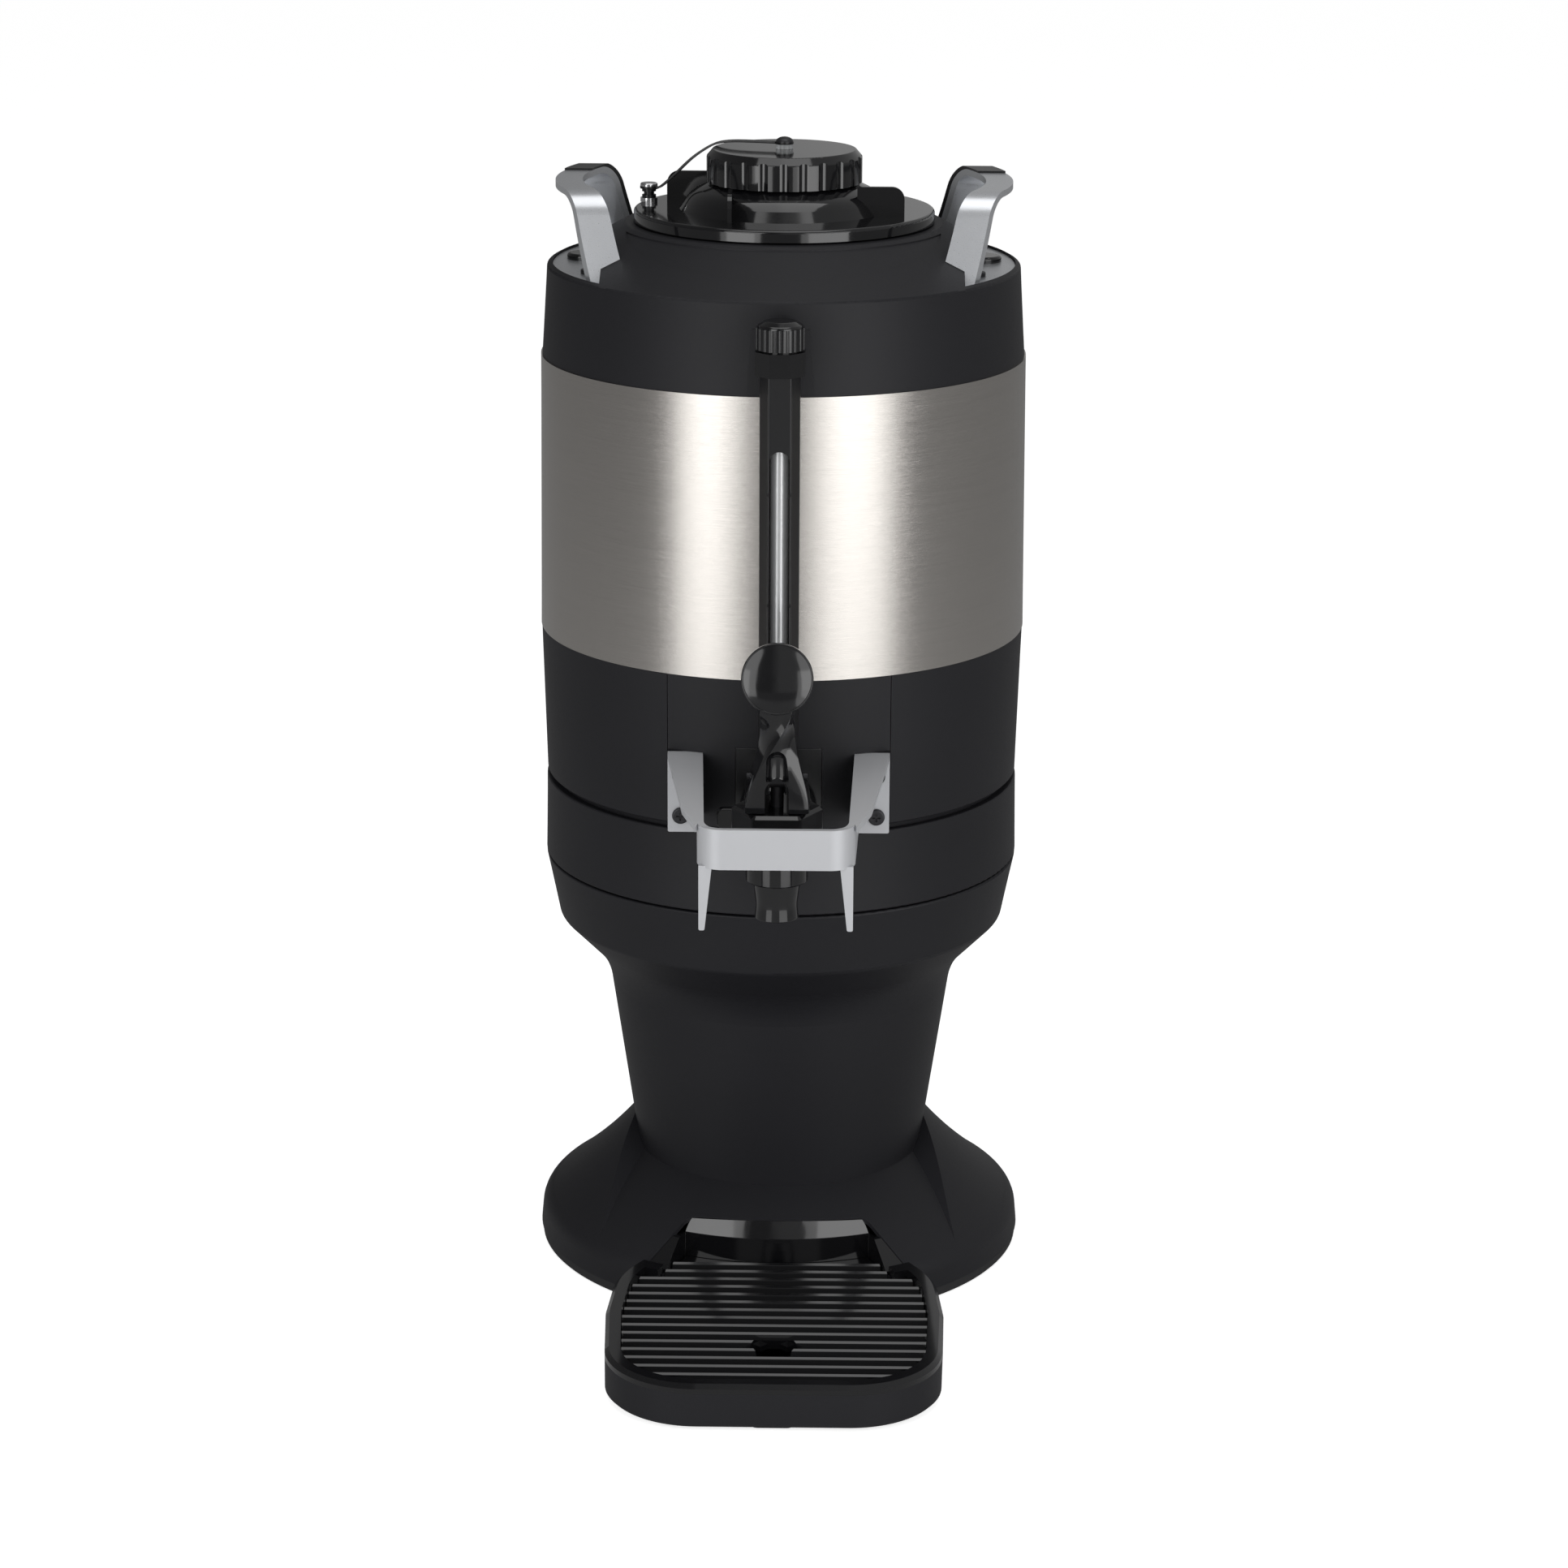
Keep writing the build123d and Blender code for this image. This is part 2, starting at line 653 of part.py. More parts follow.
def pocket_form(gap, mid, bottom, top, reach=SKIRT_R + TONGUE_REACH):
    """The space that the tray's tongue slides in, in plan, narrowed by a gap."""
    back_y = POCKET_MID - arc_drop(INSERT_BACK_HALF)
    half = INSERT_BACK_HALF - gap
    spread = half + (reach - back_y) * tan(radians(INSERT_POCKET_ANGLE))
    right = ((half, 0), (half, -back_y), (spread, -reach))
    left = tuple((-x, y) for x, y in right[::-1])
    return slab(right + left, bottom, top) - behind_arc(mid, top + CUT)


def column_form(wall=0):
    """The outside of the column, or its inside when a wall is given."""
    over = CUT if wall else 0
    corners = (
        (0, PLATE_TOP - over),
        (COLUMN_FOOT_R - wall, PLATE_TOP - over),
        (COLUMN_NECK_R - wall, COLUMN_TOP_Z - COLUMN_NECK_DROP),
        (COLUMN_HEAD_R - wall, COLUMN_TOP_Z - COLUMN_HEAD_DROP),
        (BODY_R - wall, COLUMN_TOP_Z + over),
        (0, COLUMN_TOP_Z + over),
    )
    top_round = 0 if wall else EDGE_ROUND
    return spin(corners, (0, 0, COLUMN_NECK_ROUND, COLUMN_HEAD_ROUND, top_round, 0))


def foot_ring():
    ring = pipe(FOOT_R, FOOT_R - FOOT_WIDTH, 0, FOOT_HEIGHT)
    return chamfer(ring.edges().group_by(Axis.Z)[0], FOOT_EDGE)


def base_screw_places():
    r = COLUMN_FOOT_R - COLUMN_WALL - COLUMN_FLANGE / 2
    turns = [2 * pi * (i + 0.5) / BASE_SCREW_COUNT for i in range(BASE_SCREW_COUNT)]
    return [(r * cos(t), r * sin(t)) for t in turns]


def base_plate():
    plate = post(SKIRT_TOP_R - SKIRT_WALL - FIT, FOOT_HEIGHT, PLATE_TOP)
    for x, y in base_screw_places():
        plate -= post(BASE_SCREW_R, 0, PLATE_TOP + CUT, x, y)
    return plate


def base_screws():
    screws = []
    for x, y in base_screw_places():
        head = post(BASE_SCREW_HEAD_R, FOOT_HEIGHT - BASE_SCREW_HEAD, FOOT_HEIGHT, x, y)
        shaft = post(BASE_SCREW_R, FOOT_HEIGHT, FOOT_HEIGHT + BASE_SCREW_LENGTH, x, y)
        screws.append(head + shaft)
    return screws


def base_skirt():
    shell = base_form() - base_form(SKIRT_WALL) - column_form()
    return shell - notch_form()


def notch_insert():
    body = notch_form(FIT / 3) & (Pos(0, 0, -NOTCH_LINE_DEPTH) * base_form())
    body &= post(SKIRT_R, PLATE_TOP, FLARE_TOP_Z)
    notch_z = SKIRT_TOP_Z + NOTCH_DEPTH * APRON_RISE / (SKIRT_TOP_R - FLARE_TOP_R)
    lip_z = notch_z - INSERT_LIP_DROP
    bevel_top = FLARE_TOP_Z
    lean = INSERT_BEVEL * (bevel_top - lip_z) / (INSERT_LIP_DROP * 2)
    wide = NOTCH_ARC_R + SKIRT_R
    bevel = spin((
        (NOTCH_ARC_R - FIT, lip_z),
        (wide, lip_z),
        (wide, bevel_top),
        (NOTCH_ARC_R - FIT - lean, bevel_top),
    ))
    body -= Pos(0, NOTCH_ARC_R - POCKET_MID, 0) * bevel
    body -= pocket_form(0, POCKET_MID, PLATE_TOP + INSERT_FLOOR, FLARE_TOP_Z + CUT)
    horns = offset(tray_outline() - rim_rear(), amount=FIT)
    return body - raise_face(horns, TRAY_WALL_TOP - FIT, FLARE_TOP_Z)


def pedestal_column():
    shell = column_form() - column_form(COLUMN_WALL)
    outer = COLUMN_FOOT_R - COLUMN_WALL / 2
    inner = COLUMN_FOOT_R - COLUMN_WALL - COLUMN_FLANGE
    column = shell + pipe(outer, inner, PLATE_TOP, PLATE_TOP + COLUMN_FLANGE_THICKNESS)
    for x, y in base_screw_places():
        column += post(COLUMN_BOSS_R, PLATE_TOP, PLATE_TOP + BASE_SCREW_LENGTH, x, y)
    for x, y in base_screw_places():
        column -= post(BASE_SCREW_R, 0, FOOT_HEIGHT + BASE_SCREW_LENGTH, x, y)
    return column


# Stand collar, housings and band


def stand_collar():
    inner = BODY_R - BODY_WALL
    neck_in = COLLAR_NECK_R - COLLAR_NECK_WALL
    neck_top = COLLAR_TOP + COLLAR_NECK_HEIGHT
    plug_r = BODY_R - COLUMN_WALL - COLLAR_PLUG_GAP
    plug_in = plug_r - COLLAR_NECK_WALL
    ledge_in = inner - LEDGE_WIDTH
    corners = (
        (BODY_R, COLLAR_Z),
        (COLLAR_TOP_R, COLLAR_TOP),
        (COLLAR_NECK_R, COLLAR_TOP),
        (COLLAR_NECK_R, neck_top),
        (neck_in, neck_top),
        (neck_in, COLLAR_TOP - COLLAR_NECK_WALL),
        (inner, COLLAR_TOP - COLLAR_NECK_WALL),
        (inner, LEDGE_TOP),
        (ledge_in, LEDGE_TOP),
        (ledge_in, LEDGE_TOP - LEDGE_THICKNESS),
        (inner, LEDGE_TOP - LEDGE_THICKNESS),
        (inner, COLLAR_Z + COLLAR_NECK_WALL),
        (plug_in, COLLAR_Z + COLLAR_NECK_WALL),
        (plug_in, COLUMN_TOP_Z - COLLAR_PLUG),
        (plug_r, COLUMN_TOP_Z - COLLAR_PLUG),
        (plug_r, COLLAR_Z),
    )
    collar = spin(corners, (EDGE_ROUND, EDGE_ROUND) + (0,) * (len(corners) - 2))
    half = PANEL_HALF + CUT
    return collar - block(-half, half, -BODY_R / 2, -BODY_R, HOUSING_Z - FIT, neck_top + CUT)


def vessel_cradle():
    disc = pipe(BODY_R - BODY_WALL - FIT, CRADLE_HOLE_R, LEDGE_TOP, CRADLE_TOP)
    rim_in = VACUUM_R + FIT
    return disc + pipe(rim_in + CRADLE_RIM_WALL, rim_in, CRADLE_TOP - CUT / 2, CRADLE_TOP + CRADLE_RIM)


def housing_form():
    """The lower housing as one closed ring, before its front panel is cut out."""
    lip_r = BAND_BOTTOM_R - BAND_WALL
    return spin((
        (HOUSING_BOTTOM_R - EDGE_ROUND, HOUSING_Z),
        (HOUSING_BOTTOM_R, HOUSING_Z + EDGE_ROUND),
        (HOUSING_TOP_R, HOUSING_TOP),
        (lip_r - FIT, HOUSING_TOP),
        (lip_r - FIT, HOUSING_TOP + HOUSING_LIP),
        (lip_r - FIT - HOUSING_LIP_WALL, HOUSING_TOP + HOUSING_LIP),
        (HOUSING_BOTTOM_R - BODY_WALL, HOUSING_Z),
    ))


def panel_box(gap=0):
    half = PANEL_HALF - gap
    return block(-half, half, -HOUSING_TOP_R / 2, -HOUSING_TOP_R * 2, HOUSING_Z - CUT, HOUSING_TOP)


def escutcheon_box(gap=0):
    half = ESCUTCHEON_HALF - gap
    bottom = HOUSING_Z + ESCUTCHEON_LIFT
    top = bottom + ESCUTCHEON_HEIGHT
    return block(-half, half, -HOUSING_TOP_R / 2, -HOUSING_TOP_R * 2, bottom + gap, top - gap)


def lower_housing():
    return housing_form() - panel_box()


def guard_seats():
    """The flat seats on the front panel that carry the guard's plates."""
    seat_y = GUARD_PLATE_FRONT - GUARD_PLATE
    seat = block(
        GUARD_PLATE_INNER, GUARD_PLATE_OUTER, -seat_y + BODY_WALL * 3, -seat_y,
        HOUSING_Z, GUARD_PLATE_TOP,
    )
    return mirror_pair(seat)


def guard_screw_places():
    x = GUARD_PLATE_OUTER - GUARD_SCREW_INSET
    low = GUARD_PLATE_BOTTOM + GUARD_SCREW_LOW
    return [(side * x, z) for side in (-1, 1) for z in (low, low + GUARD_SCREW_PITCH)]


def front_panel():
    panel = (housing_form() & panel_box(PANEL_SEAM)) + guard_seats()
    seat_y = GUARD_PLATE_FRONT - GUARD_PLATE
    clear = block(
        GUARD_PLATE_INNER - FIT, PANEL_HALF + CUT, -seat_y, -HOUSING_TOP_R - CUT,
        HOUSING_Z - CUT, GUARD_PLATE_TOP + FIT,
    )
    panel -= mirror_pair(clear)
    panel -= escutcheon_box()
    for x, z in guard_screw_places():
        panel -= rod(GUARD_SCREW_R, HOUSING_TOP_R / 2, HOUSING_TOP_R, x, z)
    return panel


def escutcheon():
    plate = Pos(0, -ESCUTCHEON_RAISE, 0) * housing_form() & escutcheon_box(FIT / 3)
    return plate - rod(SHANK_R, HOUSING_TOP_R / 2, HOUSING_TOP_R * 2, 0, SHANK_Z)


def steel_band():
    return spin((
        (BAND_BOTTOM_R, HOUSING_TOP),
        (BAND_TOP_R, BAND_TOP),
        (BAND_TOP_R - BAND_WALL, BAND_TOP),
        (BAND_BOTTOM_R - BAND_WALL, HOUSING_TOP),
    ))


def shoulder_cone(lift=0):
    """The shoulder's outer surface, closed to the axis."""
    slope_end = SHOULDER_TOP + SHOULDER_TOP_R * SHOULDER_RISE / (SHOULDER_EDGE_R - SHOULDER_TOP_R)
    return Pos(0, 0, lift) * spin((
        (0, BAND_TOP), (SHOULDER_BOTTOM_R, BAND_TOP), (SHOULDER_EDGE_R, EDGE_Z), (0, slope_end),
    ))


def shoulder_housing():
    lip_r = BAND_TOP_R - BAND_WALL - FIT
    lip_in = lip_r - HOUSING_LIP_WALL
    inner_edge_z = EDGE_Z - SHOULDER_WALL * SKIRT_DROP_SHARE
    corners = (
        (SHOULDER_BOTTOM_R, BAND_TOP),
        (SHOULDER_EDGE_R, EDGE_Z),
        (SHOULDER_TOP_R, SHOULDER_TOP),
        (SHOULDER_MOUTH_R, SHOULDER_TOP),
        (SHOULDER_MOUTH_R, SHOULDER_TOP - SHOULDER_MOUTH_WALL),
        (SHOULDER_TOP_R, SHOULDER_TOP - SHOULDER_MOUTH_WALL),
        (SHOULDER_EDGE_R - SHOULDER_WALL, inner_edge_z),
        (lip_in, BAND_TOP),
        (lip_in, BAND_TOP - HOUSING_LIP),
        (lip_r, BAND_TOP - HOUSING_LIP),
        (lip_r, BAND_TOP),
    )
    body = spin(corners, (0, SHOULDER_EDGE_ROUND, SHOULDER_TOP_ROUND) + (0,) * 8)
    crescent = post(CRESCENT_R, EDGE_Z, SHOULDER_TOP + CUT, 0, -CRESCENT_OFFSET)
    crescent -= post(SHOULDER_TOP_R + SHOULDER_TOP_ROUND, EDGE_Z - CUT, SHOULDER_TOP + CUT * 2)
    body -= crescent - shoulder_cone(-CRESCENT_DEPTH)
    pad_top = BAND_TOP + GAUGE_PAD_HEIGHT
    pad_face = face_of((
        (-GAUGE_PAD_BOTTOM_HALF, BAND_TOP + SEAM), (GAUGE_PAD_BOTTOM_HALF, BAND_TOP + SEAM),
        (GAUGE_PAD_TOP_HALF, pad_top), (-GAUGE_PAD_TOP_HALF, pad_top),
    ))
    pad = extrude(Plane.XZ * pad_face, amount=SHOULDER_BOTTOM_R * 2, dir=(0, -1, 0))
    outer = spin((
        (SHOULDER_EDGE_R - SHOULDER_WALL / 2, BAND_TOP), (SHOULDER_BOTTOM_R + GAUGE_PAD_RAISE, BAND_TOP),
        (SHOULDER_EDGE_R + GAUGE_PAD_RAISE, EDGE_Z), (SHOULDER_EDGE_R - SHOULDER_WALL / 2, EDGE_Z),
    ))
    body += pad & outer
    for side in (-1, 1):
        body = pocket_side(body, side)
    return body


def pocket_side(body, side):
    """One handle's pocket, with its floor and the two screw bosses under it."""
    space = pocket_space(side, POCKET_R, POCKET_FLOOR, SHOULDER_TOP + CUT)
    floor_low = POCKET_FLOOR - SHOULDER_WALL
    floor = pocket_space(side, POCKET_R + SHOULDER_WALL / 2, floor_low, POCKET_FLOOR)
    outer_x = side * POCKET_CHORD
    inner_x = outer_x - side * SHOULDER_WALL
    reach = SHOULDER_EDGE_R
    wall = block(min(outer_x, inner_x), max(outer_x, inner_x), reach, -reach, floor_low, SHOULDER_TOP)
    body += (floor + wall) & shoulder_cone()
    body -= space
    for x, y in handle_screw_places(side):
        body += post(HANDLE_BOSS_R, POCKET_FLOOR - HANDLE_BOSS, POCKET_FLOOR - SHOULDER_WALL / 2, x, y)
        body -= post(HANDLE_SCREW_R, POCKET_FLOOR - HANDLE_BOSS - CUT, POCKET_FLOOR + CUT, x, y)
    return body


def pocket_space(side, radius, bottom, top):
    """The crescent between the pocket's chord and a circle, on one side."""
    beyond = block(
        min(side * POCKET_CHORD, side * radius * 2), max(side * POCKET_CHORD, side * radius * 2),
        radius, -radius, bottom, top,
    )
    return post(radius, bottom, top) & beyond


# Handles


def handle_screw_places(side):
    half = sqrt(POCKET_R**2 - POCKET_CHORD**2) / 2
    x = side * (POCKET_CHORD + HANDLE_BOSS_R + FIT)
    return [(x, half), (x, -half)]


def arch_band(outer_gap, thickness):
    """The inverted U of a handle in side view, swept straight across."""
    foot_z = POCKET_FLOOR + HANDLE_PLATE / 2
    face = arch_face(outer_gap, foot_z) - arch_face(outer_gap + thickness, foot_z - CUT)
    solid = extrude(Plane.YZ * face, amount=BODY_R, dir=(1, 0, 0))
    return solid


def arch_face(gap, foot_z):
    top = HANDLE_TOP_Z - gap
    corners = (
        (-HANDLE_LEG_FRONT + gap, foot_z), (-HANDLE_TOP_FRONT + gap, top),
        (HANDLE_TOP_FRONT - gap, top), (HANDLE_LEG_FRONT - gap, foot_z),
    )
    bend = HANDLE_BEND - gap
    return face_of(corners, (0, bend, bend, 0))


def arch_ring(inner, outer):
    """The handle's bow in plan."""
    ring = pipe(outer, inner, POCKET_FLOOR, HANDLE_TOP_Z + CUT, HANDLE_ARC_X, 0)
    return ring & block(0, BODY_R, BODY_R, -BODY_R, POCKET_FLOOR, HANDLE_TOP_Z + CUT)


def handle_right():
    half = HANDLE_WIDTH / 2
    arch = arch_band(0, HANDLE_THICKNESS) & arch_ring(HANDLE_ARC_R - half, HANDLE_ARC_R + half)
    arch -= shoulder_cone(FIT) - pocket_space(1, POCKET_R, POCKET_FLOOR, SHOULDER_TOP)
    foot = pocket_space(1, POCKET_R - FIT, POCKET_FLOOR, POCKET_FLOOR + HANDLE_PLATE)
    foot &= block(POCKET_CHORD + FIT, BODY_R, BODY_R, -BODY_R, POCKET_FLOOR, HANDLE_TOP_Z)
    handle = foot + arch
    for x, y in handle_screw_places(1):
        handle -= post(HANDLE_SCREW_R, POCKET_FLOOR - CUT, HANDLE_BASE_TOP + CUT, x, y)
    x, y = HANDLE_PLUG_X, HANDLE_PLUG_Y
    return handle - post(HANDLE_SCREW_R, POCKET_FLOOR - CUT, HANDLE_BASE_TOP + CUT, x, y)


def handle_left():
    return mirror(handle_right(), about=Plane.YZ)


def handle_trims():
    """The dark strip on the outer face of each handle's rear leg."""
    half = HANDLE_WIDTH / 2
    strip = arch_band(-HANDLE_TRIM, HANDLE_TRIM) & arch_ring(HANDLE_ARC_R - half, HANDLE_ARC_R + half)
    rear_y = HANDLE_LEG_FRONT * 2
    strip &= block(0, BODY_R, rear_y, HANDLE_TOP_FRONT / 2, HANDLE_BASE_TOP, HANDLE_TOP_Z * 2)
    strip -= shoulder_cone(FIT) - pocket_space(1, POCKET_R, POCKET_FLOOR, SHOULDER_TOP)
    strip -= handle_right()
    largest = strip.solids().sort_by(SortBy.VOLUME)[-1]
    return [largest, mirror(largest, about=Plane.YZ)]


def handle_plugs():
    base = HANDLE_BASE_TOP
    cap = post(HANDLE_PLUG_R, base, base + HANDLE_PLUG_HEIGHT, HANDLE_PLUG_X, HANDLE_PLUG_Y)
    cap = fillet(cap.edges().group_by(Axis.Z)[-1], HANDLE_PLUG_ROUND)
    pin = post(HANDLE_SCREW_R - RUN, POCKET_FLOOR, base + CUT, HANDLE_PLUG_X, HANDLE_PLUG_Y)
    plug = cap + pin
    return [plug, mirror(plug, about=Plane.YZ)]


def handle_screws():
    screws = []
    base = HANDLE_BASE_TOP
    for side in (-1, 1):
        for x, y in handle_screw_places(side):
            head = post(HANDLE_SCREW_HEAD_R, base, base + HANDLE_SCREW_HEAD, x, y)
            head = fillet(head.edges().group_by(Axis.Z)[-1], HANDLE_SCREW_HEAD / 3)
            screws.append(head + post(HANDLE_SCREW_R, base - HANDLE_SCREW_LENGTH, base, x, y))
    return screws


# Vessel


def liner():
    top_z = NECK_TOP - LINER_SHOULDER_DROP
    neck_z = NECK_TOP - LINER_CORNER
    flange_z = NECK_TOP + NECK_FLANGE
    half_wall = LINER_WALL / 2
    rounds = (0, LINER_FOOT_ROUND, LINER_CORNER, LINER_NECK_ROUND, 0, 0)
    inside = spin((
        (0, LINER_BOTTOM_Z), (LINER_R, LINER_BOTTOM_Z), (LINER_R, top_z),
        (LINER_NECK_R, neck_z), (LINER_NECK_R, flange_z + CUT), (0, flange_z + CUT),
    ), rounds)
    outer_r = LINER_R + LINER_WALL
    low_z = LINER_BOTTOM_Z - LINER_WALL
    neck_r = LINER_NECK_R + LINER_WALL
    outside = spin((
        (0, low_z), (outer_r, low_z), (outer_r, top_z + half_wall),
        (neck_r, neck_z + half_wall), (neck_r, flange_z), (0, flange_z),
    ), rounds)
    outside += post(NECK_FLANGE_R, NECK_TOP, flange_z)
    return outside - inside - rod(SHANK_R, LINER_R / 2, LINER_R * 2, 0, SHANK_Z)


def vacuum_wall():
    top_z = NECK_TOP - VACUUM_SHOULDER_DROP
    outer = vacuum_form(0, top_z)
    inner = vacuum_form(VACUUM_WALL, top_z)
    return outer - inner - rod(SHANK_R, LINER_R / 2, LINER_R * 2, 0, SHANK_Z)


def vacuum_form(wall, top_z):
    over = CUT if wall else 0
    side_r = VACUUM_R - wall
    neck_r = NECK_FLANGE_R - wall
    low_z = CRADLE_TOP + wall
    corners = (
        (0, low_z), (side_r, low_z), (side_r, top_z - wall / 2),
        (neck_r, NECK_TOP - (VACUUM_CORNER + wall) / 2), (neck_r, NECK_TOP + over), (0, NECK_TOP + over),
    )
    return spin(corners, (0, VACUUM_FOOT_ROUND, VACUUM_CORNER, VACUUM_NECK_ROUND, 0, 0))


# Lid


def dome_profile(wall=0):
    """The dome's section from its foot on the disc to the throat, as (radius, height) corners."""
    return (
        (LID_DOME_R - wall, LID_TOP - LID_DISC),
        (LID_DOME_R - wall, LID_TOP),
        (LID_DOME_BULGE_R - wall, LID_TOP + LID_DOME_BULGE - wall / 2),
        (LID_THROAT_R - wall, LID_TOP + LID_DOME_HEIGHT - wall),
    )


def lid():
    disc = pipe(LID_R, LID_DOME_R - LID_WALL, LID_Z, LID_TOP)
    top_edges = disc.edges().filter_by(GeomType.CIRCLE).group_by(Axis.Z)[-1]
    disc = fillet(top_edges.sort_by(SortBy.RADIUS)[-1], LID_RIM_EDGE)
    relief = pipe(LID_R - LID_WALL, LID_DOME_R + LID_WALL, LID_Z - CUT, LID_TOP - LID_DISC)
    dome_top = LID_TOP + LID_DOME_HEIGHT
    bulge = (0, 0, 0, LID_DOME_ROUND, EDGE_ROUND, 0)
    dome_out = spin(((0, LID_TOP - LID_DISC),) + dome_profile() + ((0, dome_top),), bulge)
    under = (0, LID_TOP - LID_DISC - CUT)
    dome_in = spin((under,) + dome_profile(LID_WALL) + ((0, dome_top - LID_WALL),), bulge)
    dome = dome_out - dome_in - post(LID_THROAT_BORE, LID_TOP, THROAT_TOP)
    throat = pipe(LID_THROAT_NECK_R, LID_THROAT_BORE, dome_top - LID_WALL, THROAT_TOP)
    plug = pipe(LID_PLUG_R, LID_PLUG_R - LID_PLUG_WALL, LID_Z - LID_PLUG_DEPTH, LID_TOP - LID_DISC / 2)
    groove_low = LID_Z - GASKET_DROP - GASKET_HEIGHT - FIT
    ridge = pipe(LID_PLUG_R + LID_WALL / 2, LID_PLUG_R - CUT, groove_low - LID_WALL, groove_low)
    body = (disc - relief) + dome + throat + plug + ridge
    wing_face = face_of((
        (LID_THROAT_R, LID_TOP - LID_DISC / 2), (WING_REACH, LID_TOP - LID_DISC / 2),
        (WING_REACH, LID_TOP + WING_HEIGHT), (LID_THROAT_R, LID_TOP + WING_HEIGHT),
    ), (0, 0, WING_ROUND, 0))
    wing = Pos(0, -WING_OFFSET, 0) * extrude(Plane.XZ * wing_face, amount=WING_THICKNESS, dir=(0, -1, 0))
    for copy in around(wing, WING_COUNT):
        body += copy - post(CAP_R + WING_GAP, CAP_Z - WING_GAP, CAP_TOP) - dome_in
    return body - post(POST_R, LID_Z - CUT, LID_TOP + CUT, POST_X, POST_Y)


def lid_gasket():
    top = LID_Z - GASKET_DROP
    ring = pipe(GASKET_R, LID_PLUG_R + RUN, top - GASKET_HEIGHT, top)
    rib = pipe(GASKET_R, GASKET_R - CUT, top - GASKET_HEIGHT / 2 - SEAM, top - GASKET_HEIGHT / 2 + SEAM)
    groove = ring - pipe(GASKET_R + CUT, GASKET_R - SEAM, top - GASKET_HEIGHT + SEAM, top - SEAM)
    return groove + rib


def mixing_tube():
    bottom = LINER_BOTTOM_Z + TUBE_END_GAP
    funnel_r = LID_THROAT_BORE - FIT
    flange_r = LID_THROAT_NECK_R
    rim_z = THROAT_TOP + FUNNEL_FLANGE
    cone_z = THROAT_TOP - FUNNEL_DEPTH / 2
    neck_z = THROAT_TOP - FUNNEL_DEPTH - FUNNEL_SLOPE
    bore_r = TUBE_R - TUBE_WALL
    mouth_r = funnel_r - TUBE_WALL
    outer = spin((
        (0, bottom), (TUBE_R, bottom), (TUBE_R, neck_z), (funnel_r, cone_z),
        (funnel_r, THROAT_TOP), (flange_r, THROAT_TOP), (flange_r, rim_z), (0, rim_z),
    ))
    inner = spin((
        (0, bottom - CUT), (bore_r, bottom - CUT), (bore_r, neck_z),
        (mouth_r, cone_z), (mouth_r, rim_z + CUT), (0, rim_z + CUT),
    ))
    return outer - inner


# Filling cap, swivel and strap


def fluted(body, radius, count, flute_r, depth, bottom, top):
    """A grip with upright flutes cut into its rim."""
    for i in range(count):
        t = 2 * pi * i / count
        r = radius + flute_r - depth
        body -= post(flute_r, bottom, top, r * cos(t), r * sin(t))
    return body


def fill_cap():
    crown_z = CAP_Z + CAP_GRIP
    inner_r = LID_THROAT_NECK_R + FIT
    corners = ((0, CAP_Z), (CAP_R, CAP_Z), (CAP_R, crown_z), (CAP_R - CAP_TAPER, CAP_TOP), (0, CAP_TOP))
    cap = spin(corners, (0, 0, EDGE_ROUND, EDGE_ROUND, 0))
    cap -= post(inner_r, CAP_Z - CUT, CAP_UNDERSIDE)
    cap -= post(SWIVEL_SHAFT_R + RUN, CAP_UNDERSIDE - CUT, CAP_TOP + CUT)
    flute_top = crown_z + CAP_CROWN / 4
    return fluted(cap, CAP_R, CAP_FLUTES, CAP_FLUTE_R, CAP_FLUTE_DEPTH, CAP_Z - CUT, flute_top)


def cap_seal():
    outer = LID_THROAT_NECK_R
    return pipe(outer, outer - CAP_SEAL_WIDTH, CAP_UNDERSIDE - CAP_SEAL, CAP_UNDERSIDE)


def swivel_screw():
    strap_top = STRAP_CAP_Z + STRAP
    low = CAP_UNDERSIDE - SWIVEL_SHAFT_DROP
    dome = Sphere(SWIVEL_R) & post(SWIVEL_R * 2, 0, SWIVEL_R * 2)
    dome = scale(dome, by=(1, 1, SWIVEL_DOME / SWIVEL_R))
    shaft = post(SWIVEL_SHAFT_R, low, strap_top + SWIVEL_DOME / 4)
    nut = post(SWIVEL_R, low, CAP_UNDERSIDE - FIT)
    return Pos(0, 0, strap_top) * dome + shaft + nut


def swivel_washer():
    return pipe(WASHER_R, SWIVEL_SHAFT_R, CAP_TOP + RUN, STRAP_CAP_Z)


def strap_points():
    """The strap's route from the post to the cap's centre."""
    length = hypot(POST_X, POST_Y)
    rise = STRAP_CAP_Z - STRAP_POST_Z
    points = [(0, STRAP_POST_Z)]
    points += [(along * length, STRAP_POST_Z + up * rise) for along, up in STRAP_SHARES]
    return points + [(length, STRAP_CAP_Z)]


